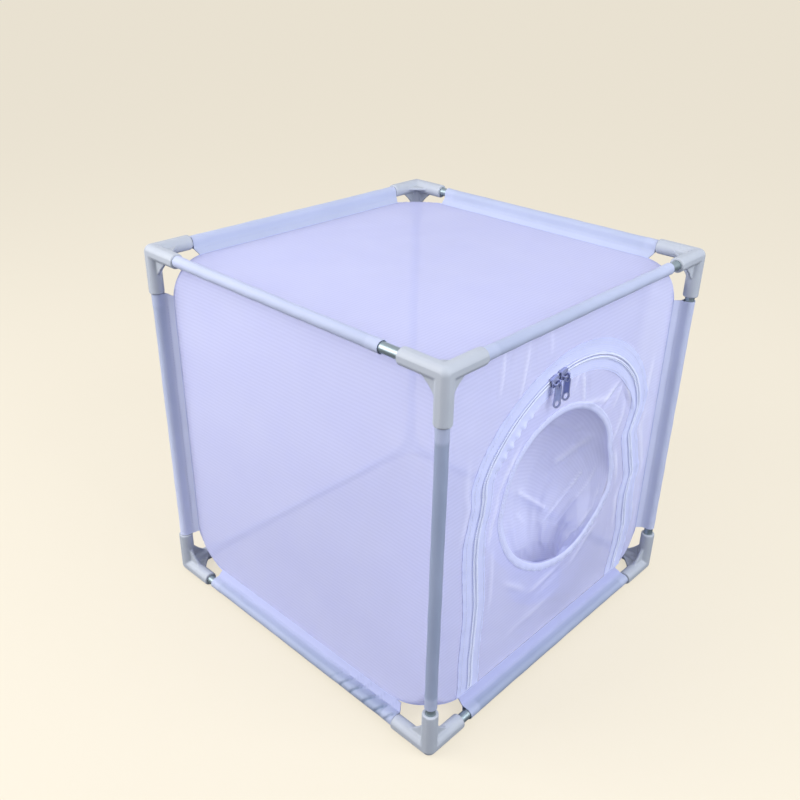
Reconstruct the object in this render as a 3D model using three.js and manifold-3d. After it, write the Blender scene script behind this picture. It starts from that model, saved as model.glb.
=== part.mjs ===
// Mesh insect cage: a cube of push-fit tubes with a fine mesh bag hung inside it.
// The front of the bag is a zipped door with an arm sleeve in it.
// Millimetres, +Z up, the door on the front (-Y). The origin is the middle of the base, on the floor.

import * as THREE from 'three';
import Module from 'manifold-3d';
import { mergeVertices } from 'three/addons/utils/BufferGeometryUtils.js';

const wasm = await Module();
wasm.setup();

// Frame of tubes and corner connectors
const tubePitch = 400; // between the axes of opposite tubes, the same all three ways
const tubeRadius = 5;
const tubeWall = 0.8;
const socketClearance = 0.2; // all round a tube in its socket
const socketFloor = 14; // from the crossing of the three axes out to the bottom of a socket
const tubeEndClearance = 0.3;
const legRadius = 8;
const legReach = 45; // from the crossing of the axes to the mouth of a leg
const legChamfer = 0.8;
const footDepth = 0.4; // flat moulded along the outer sides, which the cage rests on
const webReach = 25; // from the crossing to where a web's edge leaves the leg
const webThickness = 3;

// Bag of mesh, and the sleeves that hang it on the tubes
const bagInset = 12; // from the plane of the tube axes in to the face of the bag
const bagCornerRadius = 45;
const meshThickness = 0.8;
const panelSeamGap = 0.3; // between two panels along their seam
const sewnGap = 0.3; // between layers that are sewn together
const pocketClearance = 0.3; // all round a tube in its fabric pocket
const pocketCloth = 0.7;
const seamAllowance = 1.5; // how far a sleeve's fin reaches inside the bag's edge

// Zipped door in the front
const doorOffset = 6; // middle of the door to the right of the middle of the cage
const zipSideMargin = 53; // from a side edge of the bag in to a leg of the zip's line
const zipTopMargin = 51; // from the top edge of the bag down to the top of the zip's line
const zipShoulderStep = 20; // how much wider than the legs the arc over them would reach
const zipShoulderRadius = 60;
const tapeWidth = 15; // one side of the zip, from its line to the edge of the tape
const tapeThickness = 0.8;
const seamLap = 3; // tape over mesh
const coilSlotHalf = 0.8; // from the zip's line to the nearer side of each coil
const coilWidth = 2.4;
const coilHeight = 2;
const hingeRise = 2.2; // the door's bottom edge above the bottom of the bag
const tapeEndRise = 1; // above the door's bottom edge
const coilEndRise = 4;

// Arm hole, which its limp sleeve drags out of round, and the sleeve
const armHoleMargin = 32; // from a leg of the zip's line in to the hole's long end
const armHoleNarrowing = 18; // from its long half-size to its short one
const armHoleLean = -39; // degrees from level to the long way across the hole
const armHoleOffset = 5; // to the right of the middle of the cage
const armHoleRise = -4; // above the middle of the cage
const bindingLip = 0.8; // binding inside the hole's edge
const bindingWidth = 8; // binding outside the hole's edge
const bindingThickness = 1;
const armSleeveRootLap = 0.5; // mesh of the door over the root of the sleeve
const armSleeveDrop = 60; // from the hole's lower edge down to the end of the sleeve
const armSleeveForward = 6; // how far the front of the sleeve hangs behind the door
const armSleeveSway = 14; // sideways, from the hole to the cuff
const armSleeveFolds = 7;
const armSleeveFoldDepth = 4;
const armSleeveFoldTwist = 70; // degrees round the sleeve, from the hole to the cuff
const cuffHeight = 14;
const cuffRise = 2; // above the end of the sleeve
const cuffThickness = 2;

// Zip sliders, their rings and tabs
const sliderLeftTurn = -14.8; // degrees from the top of the arc, to the right is positive
const sliderRightTurn = -9.6;
const sliderLength = 10;
const sliderNoseHalfWidth = 5.2;
const sliderTailHalfWidth = 4.6;
const sliderNoseLength = 3;
const sliderClearance = 0.3;
const sliderFlangeClearance = 0.4;
const sliderFlangeWall = 1;
const sliderBackPlate = 1;
const sliderFrontPlate = 1.2;
const sliderPostThickness = 0.8;
const sliderPostLength = 4;
const crownSpan = 8.6;
const crownThickness = 1.2;
const crownRise = 3.1; // from the front plate up to the middle of the crown's bar
const ringRadius = 2.3;
const ringWireRadius = 0.45;
const ringPlay = 0.3; // between the ring and what it holds
const tabLength = 25;
const tabHalfWidth = 4.3;
const tabThickness = 1.2;
const tabTopHoleRadius = 1.8;
const tabEyeRadius = 5;
const tabEyeHoleRadius = 2.9;
const tabPlay = 0.35; // between the tab's top edge and the crown's bar

// Places and sizes that follow from these
const bagHalf = tubePitch / 2 - bagInset;
const sleeveHalfLength = bagHalf - bagCornerRadius;
const centreHeight = tubePitch / 2 + legRadius - footDepth;
const pocketInner = tubeRadius + pocketClearance;
const pocketOuter = pocketInner + pocketCloth;
const finThickness = 2 * pocketCloth;
const finReach = bagInset * Math.SQRT2 + seamAllowance;
const zipHalfWidth = bagHalf - zipSideMargin;
const zipArcRadius = zipHalfWidth + zipShoulderStep;
const archCentreZ = bagHalf - zipTopMargin - zipArcRadius;
const armHoleHalfLong = zipHalfWidth - armHoleMargin;
const armHoleHalfShort = armHoleHalfLong - armHoleNarrowing;
const hingeZ = -bagHalf + hingeRise;
const tapeBack = -bagHalf - sewnGap;
const tapeFront = tapeBack - tapeThickness;
const coilBack = tapeFront - sewnGap;
const coilFront = coilBack - coilHeight;
const overrun = 1; // how far a cut runs past what it cuts

// Steps round the curves
const roundSteps = 16;
const wireSteps = 6;
const holeSteps = 36;
const cornerSteps = 6;
const arcSteps = 26;
const shoulderSteps = 6;
const mergeTolerance = 1e-4;

const connectorPlastic = new THREE.MeshStandardMaterial({ color: 0xd3d7dc, roughness: 0.5, metalness: 0 });
const tubeMetal = new THREE.MeshStandardMaterial({ color: 0x9fb0a8, roughness: 0.4, metalness: 0.6 });
const meshCloth = new THREE.MeshStandardMaterial({ color: 0xc9cef2, roughness: 0.9, metalness: 0 });
const sleeveCloth = new THREE.MeshStandardMaterial({ color: 0xd5daf5, roughness: 0.9, metalness: 0 });
const tapeCloth = new THREE.MeshStandardMaterial({ color: 0xdfe4fb, roughness: 0.85, metalness: 0 });
const coilNylon = new THREE.MeshStandardMaterial({ color: 0xc6ccdf, roughness: 0.5, metalness: 0 });
const sliderMetal = new THREE.MeshStandardMaterial({ color: 0x8a90a6, roughness: 0.35, metalness: 0.9 });

const cage = new THREE.Group();
cage.position.z = centreHeight;

function add(parent, name, geometry, material) {
  const mesh = new THREE.Mesh(geometry, material);
  mesh.name = name;
  parent.add(mesh);
  return mesh;
}

// A closed geometry with its shared corners merged and its empty triangles left out
function closed(geometry) {
  const bare = new THREE.BufferGeometry();
  bare.setAttribute('position', geometry.getAttribute('position').clone());
  bare.setIndex(geometry.getIndex());
  const merged = mergeVertices(bare, mergeTolerance);
  const corners = merged.getIndex().array;
  const kept = [];
  for (let i = 0; i < corners.length; i += 3) {
    const [a, b, c] = [corners[i], corners[i + 1], corners[i + 2]];
    if (a !== b && b !== c && c !== a) {
      kept.push(a, b, c);
    }
  }
  merged.setIndex(kept);
  return merged;
}

function toSolid(geometry) {
  const merged = closed(geometry);
  return new wasm.Manifold(new wasm.Mesh({
    numProp: 3,
    vertProperties: new Float32Array(merged.getAttribute('position').array),
    triVerts: new Uint32Array(merged.getIndex().array),
  }));
}

function toGeometry(solid) {
  const mesh = solid.getMesh();
  const geometry = new THREE.BufferGeometry();
  geometry.setAttribute('position', new THREE.BufferAttribute(mesh.vertProperties, 3));
  geometry.setIndex(new THREE.BufferAttribute(mesh.triVerts, 1));
  geometry.computeVertexNormals();
  return geometry;
}

function extrude(shape, depth, steps = roundSteps / 2) {
  return new THREE.ExtrudeGeometry(shape, { depth, bevelEnabled: false, curveSegments: steps });
}

// A flat piece in the plane of the front: its outline is in x and z, and it lies in front of y = back
function frontPlate(shape, thickness, back, steps) {
  return extrude(shape, thickness, steps).rotateX(Math.PI / 2).translate(0, back, 0);
}

function circlePath(x, y, radius) {
  return new THREE.Path().absarc(x, y, radius, 0, 2 * Math.PI, false);
}

function ovalPath(path, x, y, halfLong, halfShort, lean) {
  return path.absellipse(x, y, halfLong, halfShort, 0, 2 * Math.PI, false, lean);
}

// The six sides, by name, as the direction that each faces
const sides = {
  left: new THREE.Vector3(-1, 0, 0),
  right: new THREE.Vector3(1, 0, 0),
  front: new THREE.Vector3(0, -1, 0),
  back: new THREE.Vector3(0, 1, 0),
  bottom: new THREE.Vector3(0, 0, -1),
  top: new THREE.Vector3(0, 0, 1),
};

// The twelve edges, each by the two sides that meet there
const edges = [
  ['top', 'front'],
  ['top', 'back'],
  ['bottom', 'front'],
  ['bottom', 'back'],
  ['top', 'left'],
  ['top', 'right'],
  ['bottom', 'left'],
  ['bottom', 'right'],
  ['front', 'left'],
  ['front', 'right'],
  ['back', 'left'],
  ['back', 'right'],
];

// Corner connectors: three round legs at right angles, with sockets, and a web between each two
function alongAxes(make) {
  return [
    make(),
    make().rotateZ(-Math.PI / 2),
    make().rotateX(Math.PI / 2),
  ].map(toSolid);
}

function legGeometry() {
  return new THREE.LatheGeometry([
    new THREE.Vector2(0, 0),
    new THREE.Vector2(legRadius, 0),
    new THREE.Vector2(legRadius, legReach - legChamfer),
    new THREE.Vector2(legRadius - legChamfer, legReach),
    new THREE.Vector2(0, legReach),
  ], roundSteps);
}

function socketGeometry() {
  const depth = legReach + overrun - socketFloor;
  const radius = tubeRadius + socketClearance;
  return new THREE.CylinderGeometry(radius, radius, depth, roundSteps)
    .translate(0, socketFloor + depth / 2, 0);
}

function webGeometry() {
  const reach = webReach + legRadius;
  const outline = new THREE.Shape([
    new THREE.Vector2(0, 0),
    new THREE.Vector2(reach, 0),
    new THREE.Vector2(0, reach),
  ]);
  return extrude(outline, webThickness).translate(0, 0, -webThickness / 2);
}

function connectorGeometry() {
  const turns = [
    new THREE.Matrix4(),
    new THREE.Matrix4().makeBasis(sides.back, sides.top, sides.right),
    new THREE.Matrix4().makeBasis(sides.top, sides.right, sides.back),
  ];
  const webs = turns.map((turn) => toSolid(webGeometry().applyMatrix4(turn)));
  const ball = toSolid(new THREE.SphereGeometry(legRadius, roundSteps, roundSteps / 2));
  let body = ball;
  for (const piece of [...alongAxes(legGeometry), ...webs]) {
    body = body.add(piece);
  }
  for (const socket of alongAxes(socketGeometry)) {
    body = body.subtract(socket);
  }
  const room = legReach + legRadius;
  const limit = toSolid(new THREE.BoxGeometry(room, room, room)
    .translate(room / 2, room / 2, room / 2)
    .translate(footDepth - legRadius, footDepth - legRadius, footDepth - legRadius));
  return toGeometry(body.intersect(limit));
}

const connector = connectorGeometry();
for (const level of ['bottom', 'top']) {
  for (const depth of ['front', 'back']) {
    for (const hand of ['left', 'right']) {
      const place = new THREE.Vector3().add(sides[level]).add(sides[depth]).add(sides[hand]);
      const inX = new THREE.Vector3(-place.x, 0, 0);
      const inY = new THREE.Vector3(0, -place.y, 0);
      const inZ = new THREE.Vector3(0, 0, -place.z);
      const turned = place.x * place.y * place.z < 0;
      const basis = turned
        ? new THREE.Matrix4().makeBasis(inX, inY, inZ)
        : new THREE.Matrix4().makeBasis(inY, inX, inZ);
      const mesh = add(cage, `connector_${level}_${depth}_${hand}`, connector, connectorPlastic);
      mesh.quaternion.setFromRotationMatrix(basis);
      mesh.position.copy(place).multiplyScalar(tubePitch / 2);
    }
  }
}

// What follows an edge has its length along local z and looks from the edge into the cage along x
function edgeBasis(first, second) {
  const along = new THREE.Vector3().crossVectors(sides[first], sides[second]);
  const inwards = new THREE.Vector3().add(sides[first]).add(sides[second]).normalize().negate();
  const across = new THREE.Vector3().crossVectors(along, inwards);
  return new THREE.Matrix4().makeBasis(inwards, across, along);
}

function edgePlace(first, second) {
  return new THREE.Vector3().add(sides[first]).add(sides[second]).multiplyScalar(tubePitch / 2);
}

function onEdge(mesh, first, second) {
  mesh.quaternion.setFromRotationMatrix(edgeBasis(first, second));
  mesh.position.copy(edgePlace(first, second));
}

// Tubes, pushed into their sockets
function tubeGeometry() {
  const length = tubePitch - 2 * (socketFloor + tubeEndClearance);
  const section = new THREE.Shape().absarc(0, 0, tubeRadius, 0, 2 * Math.PI, false);
  section.holes.push(circlePath(0, 0, tubeRadius - tubeWall));
  return closed(extrude(section, length).translate(0, 0, -length / 2));
}

// Pole sleeves: cloth folded round a tube and doubled into a fin that is sewn into the bag's edge
function poleSleeveGeometry() {
  const half = finThickness / 2;
  const start = Math.asin(half / pocketOuter);
  const section = new THREE.Shape();
  section.moveTo(pocketOuter * Math.cos(start), half);
  section.lineTo(finReach, half);
  section.lineTo(finReach, -half);
  section.lineTo(pocketOuter * Math.cos(start), -half);
  section.absarc(0, 0, pocketOuter, -start, start, true);
  section.holes.push(circlePath(0, 0, pocketInner));
  return closed(extrude(section, 2 * sleeveHalfLength).translate(0, 0, -sleeveHalfLength));
}

const tube = tubeGeometry();
const poleSleeve = poleSleeveGeometry();
for (const [first, second] of edges) {
  onEdge(add(cage, `tube_${first}_${second}`, tube, tubeMetal), first, second);
  onEdge(add(cage, `pole_sleeve_${first}_${second}`, poleSleeve, sleeveCloth), first, second);
}

// The bag as a closed body: a cube whose corners are cut to a sphere.
// The sphere meets each face in an arc, and the petals outside the arcs close the corner.
function bagGeometry(half, radius) {
  const centre = half - radius;
  const sphere = radius * Math.SQRT2;
  const corners = [];
  const triangle = (a, b, c) => corners.push(...a.toArray(), ...b.toArray(), ...c.toArray());
  const seamPoint = (step) => {
    const third = cornerSteps / 2;
    const u = Math.min(1, (cornerSteps - step) / third);
    const v = Math.min(1, step / third);
    return new THREE.Vector3(u, v, 1).normalize().multiplyScalar(sphere);
  };
  const arcPoint = (step) => {
    const angle = (step / cornerSteps) * (Math.PI / 2);
    return new THREE.Vector3(radius * Math.cos(angle), radius * Math.sin(angle), radius);
  };
  const faces = [
    [sides.back, sides.top, sides.right],
    [sides.top, sides.back, sides.left],
    [sides.top, sides.right, sides.back],
    [sides.right, sides.top, sides.front],
    [sides.right, sides.back, sides.top],
    [sides.back, sides.right, sides.bottom],
  ];
  for (const [across, up, out] of faces) {
    const rim = [];
    for (let quarter = 0; quarter < 4; quarter += 1) {
      const turn = new THREE.Matrix4().makeRotationZ((quarter * Math.PI) / 2);
      const face = new THREE.Matrix4().makeBasis(across, up, out);
      const place = (point) => point
        .add(new THREE.Vector3(centre, centre, centre))
        .applyMatrix4(turn)
        .applyMatrix4(face);
      for (let step = 0; step <= cornerSteps; step += 1) {
        rim.push(place(arcPoint(step)));
      }
      for (let step = 0; step < cornerSteps; step += 1) {
        const [a, b] = [place(arcPoint(step)), place(arcPoint(step + 1))];
        const [c, d] = [place(seamPoint(step + 1)), place(seamPoint(step))];
        triangle(a, d, c);
        triangle(a, c, b);
      }
    }
    const middle = new THREE.Vector3(0, 0, 0);
    for (const point of rim) {
      middle.addScaledVector(point, 1 / rim.length);
    }
    for (let i = 0; i < rim.length; i += 1) {
      triangle(middle, rim[i], rim[(i + 1) % rim.length]);
    }
  }
  const geometry = new THREE.BufferGeometry();
  geometry.setAttribute('position', new THREE.Float32BufferAttribute(corners, 3));
  return geometry;
}

// The share of the bag that belongs to one side, up to the seams with its four neighbours
function sideWedge(out) {
  const height = 2 * bagHalf;
  const wedge = new THREE.ConeGeometry(height * Math.SQRT2, height, 4)
    .rotateY(Math.PI / 4)
    .translate(0, -height / 2, 0);
  wedge.applyQuaternion(new THREE.Quaternion().setFromUnitVectors(new THREE.Vector3(0, -1, 0), out));
  return wedge.translate(...out.clone().multiplyScalar(panelSeamGap * Math.SQRT1_2).toArray());
}

function finSlot(first, second) {
  const length = 2 * (sleeveHalfLength + sewnGap);
  const width = finThickness + 2 * sewnGap;
  return new THREE.BoxGeometry(finReach + sewnGap, width, length)
    .translate((finReach + sewnGap) / 2, 0, 0)
    .applyMatrix4(edgeBasis(first, second))
    .translate(...edgePlace(first, second).toArray());
}

// The line of the zip, moved outwards by offset, from the left foot over the top to the right foot
function archLine(offset, footZ) {
  const shoulderX = zipHalfWidth - zipShoulderRadius;
  const shoulderRise = Math.sqrt((zipArcRadius - zipShoulderRadius) ** 2 - shoulderX ** 2);
  const shoulderZ = archCentreZ + shoulderRise;
  const turn = Math.atan2(shoulderX, shoulderRise);
  const reach = zipHalfWidth + offset;
  const points = [new THREE.Vector2(doorOffset - reach, footZ)];
  const arc = (x, z, radius, from, to, steps, first) => {
    for (let step = first; step <= steps; step += 1) {
      const angle = from + ((to - from) * step) / steps;
      points.push(new THREE.Vector2(x + radius * Math.sin(angle), z + radius * Math.cos(angle)));
    }
  };
  const shoulder = zipShoulderRadius + offset;
  arc(doorOffset - shoulderX, shoulderZ, shoulder, -Math.PI / 2, -turn, shoulderSteps, 0);
  arc(doorOffset, archCentreZ, zipArcRadius + offset, -turn, turn, arcSteps, 1);
  arc(doorOffset + shoulderX, shoulderZ, shoulder, turn, Math.PI / 2, shoulderSteps, 1);
  points.push(new THREE.Vector2(doorOffset + reach, footZ));
  return points;
}

function archBand(inner, outer, footZ) {
  return new THREE.Shape([...archLine(outer, footZ), ...archLine(inner, footZ).reverse()]);
}

// Mesh panels: the wall of the bag, parted at its seams, with a slot for each sleeve's fin
const bagWall = edges.reduce(
  (wall, [first, second]) => wall.subtract(toSolid(finSlot(first, second))),
  toSolid(bagGeometry(bagHalf, bagCornerRadius))
    .subtract(toSolid(bagGeometry(bagHalf - meshThickness, bagCornerRadius - meshThickness))),
);
const doorwayOffset = tapeWidth - seamLap;
for (const [name, out] of Object.entries(sides)) {
  let panel = bagWall.intersect(toSolid(sideWedge(out)));
  if (name === 'front') {
    const doorway = new THREE.Shape(archLine(doorwayOffset, -bagHalf - overrun));
    const cutBack = -bagHalf + bagCornerRadius;
    panel = panel.subtract(toSolid(frontPlate(doorway, bagCornerRadius + overrun, cutBack)));
  }
  add(cage, `mesh_panel_${name}`, toGeometry(panel), meshCloth);
}

// Zip: a tape on the doorway's edge and one on the door's edge, each with its coil
const outerTape = archBand(coilSlotHalf, tapeWidth, hingeZ + tapeEndRise);
add(cage, 'zip_tape_outer', closed(frontPlate(outerTape, tapeThickness, tapeBack)), tapeCloth);
const outerCoil = archBand(coilSlotHalf, coilSlotHalf + coilWidth, hingeZ + coilEndRise);
add(cage, 'zip_coil_outer', closed(frontPlate(outerCoil, coilHeight, coilBack)), coilNylon);
const innerTape = archBand(-tapeWidth, -coilSlotHalf, hingeZ + tapeEndRise);
add(cage, 'zip_tape_inner', closed(frontPlate(innerTape, tapeThickness, tapeBack)), tapeCloth);
const innerCoil = archBand(-coilSlotHalf - coilWidth, -coilSlotHalf, hingeZ + coilEndRise);
add(cage, 'zip_coil_inner', closed(frontPlate(innerCoil, coilHeight, coilBack)), coilNylon);

// Door of mesh, with the arm hole
const holeLean = THREE.MathUtils.degToRad(armHoleLean);
function armHolePath(path, grow) {
  const [halfLong, halfShort] = [armHoleHalfLong + grow, armHoleHalfShort + grow];
  return ovalPath(path, armHoleOffset, armHoleRise, halfLong, halfShort, holeLean);
}

const doorOutline = new THREE.Shape(archLine(-doorwayOffset, hingeZ));
doorOutline.holes.push(armHolePath(new THREE.Path(), 0));
const doorSheet = frontPlate(doorOutline, meshThickness, meshThickness - bagHalf, holeSteps / 2);
add(cage, 'door_mesh', closed(doorSheet), meshCloth);

const binding = armHolePath(new THREE.Shape(), bindingWidth);
binding.holes.push(armHolePath(new THREE.Path(), -bindingLip));
const bindingRing = frontPlate(binding, bindingThickness, tapeBack, holeSteps / 2);
add(cage, 'arm_hole_binding', closed(bindingRing), tapeCloth);

// A thin tube of cloth through a list of rings, which are ovals with folds round them.
// A ring leans back by its turn about its front point, and its oval by its lean in its own plane.
function hangingTube(rings, wall) {
  const corners = [];
  const triangle = (a, b, c) => corners.push(...a.toArray(), ...b.toArray(), ...c.toArray());
  const outer = (ring, step) => {
    const angle = (step / holeSteps) * 2 * Math.PI;
    const fold = -ring.foldDepth * (1 + Math.cos(armSleeveFolds * (angle + ring.foldTurn))) / 2;
    const long = (ring.wide + fold) * Math.cos(angle);
    const short = (ring.deep + fold) * Math.sin(angle);
    const rise = Math.hypot(ring.wide * Math.sin(ring.lean), ring.deep * Math.cos(ring.lean));
    const up = rise + long * Math.sin(ring.lean) + short * Math.cos(ring.lean);
    return new THREE.Vector3(
      ring.x + long * Math.cos(ring.lean) - short * Math.sin(ring.lean),
      ring.y + up * Math.sin(ring.turn),
      ring.z + up * Math.cos(ring.turn),
    );
  };
  const last = rings.length - 1;
  const inner = (i, step) => {
    const isEnd = i === 0 || i === last;
    const along = isEnd
      ? new THREE.Vector3(0, Math.cos(rings[i].turn), -Math.sin(rings[i].turn))
      : outer(rings[i + 1], step).sub(outer(rings[i - 1], step));
    const around = outer(rings[i], step + 1).sub(outer(rings[i], step - 1));
    return outer(rings[i], step).addScaledVector(around.cross(along).normalize(), wall);
  };
  for (let step = 0; step < holeSteps; step += 1) {
    for (let i = 0; i < last; i += 1) {
      const face = [outer(rings[i], step), outer(rings[i], step + 1)];
      const nextFace = [outer(rings[i + 1], step), outer(rings[i + 1], step + 1)];
      const lining = [inner(i, step), inner(i, step + 1)];
      const nextLining = [inner(i + 1, step), inner(i + 1, step + 1)];
      triangle(face[0], nextFace[1], face[1]);
      triangle(face[0], nextFace[0], nextFace[1]);
      triangle(lining[0], lining[1], nextLining[1]);
      triangle(lining[0], nextLining[1], nextLining[0]);
    }
    const [mouth, mouthNext] = [outer(rings[0], step), outer(rings[0], step + 1)];
    triangle(mouth, mouthNext, inner(0, step + 1));
    triangle(mouth, inner(0, step + 1), inner(0, step));
    const [end, endNext] = [outer(rings[last], step), outer(rings[last], step + 1)];
    triangle(end, inner(last, step + 1), endNext);
    triangle(end, inner(last, step), inner(last, step + 1));
  }
  const geometry = new THREE.BufferGeometry();
  geometry.setAttribute('position', new THREE.Float32BufferAttribute(corners, 3));
  return closed(geometry);
}

// Arm sleeve: limp mesh that sags back from the hole and hangs down behind the door.
// Shares of the hole's half-sizes and lean, of the drop for the front point's height,
// of the forward gap and the sway for its place, and of the folds.
const sleeveRingShares = [
  { turn: 0, lean: 1, drop: 0, away: 0, wide: 1, deep: 1, fold: 0 },
  { turn: 18, lean: 0.85, drop: 0.03, away: 0.1, wide: 0.93, deep: 0.86, fold: 0.4 },
  { turn: 36, lean: 0.6, drop: 0.08, away: 0.3, wide: 0.79, deep: 0.7, fold: 1 },
  { turn: 54, lean: 0.35, drop: 0.15, away: 0.5, wide: 0.64, deep: 0.53, fold: 1 },
  { turn: 72, lean: 0.15, drop: 0.24, away: 0.75, wide: 0.5, deep: 0.38, fold: 1 },
  { turn: 90, lean: 0, drop: 0.34, away: 0.9, wide: 0.4, deep: 0.29, fold: 0.8 },
  { turn: 90, lean: 0, drop: 0.68, away: 1, wide: 0.33, deep: 0.24, fold: 0 },
  { turn: 90, lean: 0, drop: 1, away: 1, wide: 0.33, deep: 0.24, fold: 0 },
];
const rootGrow = armSleeveRootLap + meshThickness;
const holeDrop = Math.hypot(
  (armHoleHalfLong + rootGrow) * Math.sin(holeLean),
  (armHoleHalfShort + rootGrow) * Math.cos(holeLean),
);
const sleeveRings = sleeveRingShares.map((share) => ({
  turn: THREE.MathUtils.degToRad(share.turn),
  lean: holeLean * share.lean,
  x: armHoleOffset + armSleeveSway * share.away,
  y: meshThickness - bagHalf + sewnGap + armSleeveForward * share.away,
  z: armHoleRise - holeDrop - armSleeveDrop * share.drop,
  wide: (armHoleHalfLong + rootGrow) * share.wide,
  deep: (armHoleHalfShort + rootGrow) * share.deep,
  foldDepth: armSleeveFoldDepth * share.fold,
  foldTurn: THREE.MathUtils.degToRad(armSleeveFoldTwist) * share.drop,
}));
add(cage, 'arm_sleeve', hangingTube(sleeveRings, meshThickness), meshCloth);

// Elastic cuff round the end of the sleeve
const sleeveEnd = sleeveRings[sleeveRings.length - 1];
const cuffGrow = sewnGap + cuffThickness;
const cuffRings = [cuffRise + cuffHeight, cuffRise].map((rise) => ({
  ...sleeveEnd,
  y: sleeveEnd.y - cuffGrow,
  z: sleeveEnd.z + rise,
  wide: sleeveEnd.wide + cuffGrow,
  deep: sleeveEnd.deep + cuffGrow,
}));
add(cage, 'arm_sleeve_cuff', hangingTube(cuffRings, cuffThickness), tapeCloth);

// Zip sliders. In a slider's own frame x runs along the zip and z outwards across it.
function box(x0, x1, y0, y1, z0, z1) {
  return toSolid(new THREE.BoxGeometry(x1 - x0, y1 - y0, z1 - z0)
    .translate((x0 + x1) / 2, (y0 + y1) / 2, (z0 + z1) / 2));
}

const sliderBack = tapeBack + sliderClearance;
const plateInside = coilFront - sliderClearance;
const plateOutside = plateInside - sliderFrontPlate;
const crownY = plateOutside - crownRise;

function sliderGeometry() {
  const tail = -sliderLength / 2;
  const nose = sliderLength / 2;
  const outline = new THREE.Shape([
    new THREE.Vector2(tail, -sliderTailHalfWidth),
    new THREE.Vector2(nose - sliderNoseLength, -sliderNoseHalfWidth),
    new THREE.Vector2(nose, -sliderTailHalfWidth),
    new THREE.Vector2(nose, sliderTailHalfWidth),
    new THREE.Vector2(nose - sliderNoseLength, sliderNoseHalfWidth),
    new THREE.Vector2(tail, sliderTailHalfWidth),
  ]);
  const flangeIn = coilSlotHalf + coilWidth + sliderFlangeClearance;
  const flangeOut = flangeIn + sliderFlangeWall;
  const flangeFoot = tapeFront - sliderClearance;
  const post = sliderPostThickness / 2;
  let body = toSolid(frontPlate(outline, sliderFrontPlate, plateInside));
  body = body.add(toSolid(frontPlate(outline, sliderBackPlate, sliderBack + sliderBackPlate)));
  body = body.add(box(tail, nose, plateInside - sliderFrontPlate / 2, flangeFoot, flangeIn, flangeOut));
  body = body.add(box(tail, nose, plateInside - sliderFrontPlate / 2, flangeFoot, -flangeOut, -flangeIn));
  body = body.add(box(
    -sliderPostLength / 2,
    sliderPostLength / 2,
    plateInside - sliderFrontPlate / 2,
    sliderBack + sliderBackPlate / 2,
    -post,
    post,
  ));
  const wire = crownThickness / 2;
  const foot = crownSpan / 2;
  const sunk = plateOutside + sliderFrontPlate / 2;
  const bow = new THREE.Shape([
    new THREE.Vector2(-foot, sunk),
    new THREE.Vector2(-foot, crownY),
    new THREE.Vector2(-foot + wire, crownY - wire),
    new THREE.Vector2(foot - wire, crownY - wire),
    new THREE.Vector2(foot, crownY),
    new THREE.Vector2(foot, sunk),
    new THREE.Vector2(foot - crownThickness, sunk),
    new THREE.Vector2(foot - crownThickness, crownY + wire),
    new THREE.Vector2(crownThickness - foot, crownY + wire),
    new THREE.Vector2(crownThickness - foot, sunk),
  ]);
  body = body.add(toSolid(extrude(bow, crownThickness).translate(0, 0, -wire)));
  return toGeometry(body);
}

// Ring through the crown, and the tab that hangs from it. They hang from the crown's bar at z = 0.
const ringInner = ringRadius - ringWireRadius;
const barReach = (crownThickness / 2) * Math.SQRT2;
const ringDrop = ringInner - barReach - ringPlay;
const ringFloor = -ringDrop - Math.sqrt(ringInner ** 2 - (tabThickness / 2) ** 2);

function ringGeometry() {
  return closed(new THREE.TorusGeometry(ringRadius, ringWireRadius, wireSteps, roundSteps)
    .rotateY(Math.PI / 2)
    .translate(0, 0, -ringDrop));
}

function tabGeometry() {
  const top = -barReach - tabPlay;
  const eyeZ = top - tabLength + tabEyeRadius;
  const outline = new THREE.Shape();
  const waist = Math.acos(tabHalfWidth / tabEyeRadius);
  outline.moveTo(-tabHalfWidth, eyeZ + tabEyeRadius * Math.sin(waist));
  outline.absarc(0, eyeZ, tabEyeRadius, Math.PI - waist, waist, false);
  outline.lineTo(tabHalfWidth, top - tabHalfWidth);
  outline.absarc(0, top - tabHalfWidth, tabHalfWidth, 0, Math.PI, false);
  outline.holes.push(circlePath(0, eyeZ, tabEyeHoleRadius));
  outline.holes.push(circlePath(0, ringFloor + ringPlay - tabTopHoleRadius, tabTopHoleRadius));
  return closed(frontPlate(outline, tabThickness, tabThickness / 2));
}

const slider = sliderGeometry();
const ring = ringGeometry();
const tab = tabGeometry();
const sliders = [
  ['left', sliderLeftTurn, 0],
  ['right', sliderRightTurn, Math.PI],
];
for (const [hand, degrees, flip] of sliders) {
  const turn = THREE.MathUtils.degToRad(degrees);
  const onZip = new THREE.Group();
  onZip.position.set(
    doorOffset + zipArcRadius * Math.sin(turn),
    0,
    archCentreZ + zipArcRadius * Math.cos(turn),
  );
  const body = add(onZip, `zip_slider_${hand}`, slider, sliderMetal);
  body.rotation.y = turn + flip;
  const hanging = new THREE.Group();
  hanging.position.y = crownY;
  add(hanging, `zip_ring_${hand}`, ring, sliderMetal);
  add(hanging, `zip_tab_${hand}`, tab, sliderMetal);
  onZip.add(hanging);
  cage.add(onZip);
}

const insectCage = new THREE.Group();
insectCage.add(cage);

export default insectCage;
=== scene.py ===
import itertools
import math
import bmesh
import bpy
import numpy as np
from mathutils import Matrix, Vector
from mathutils.geometry import delaunay_2d_cdt


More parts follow.
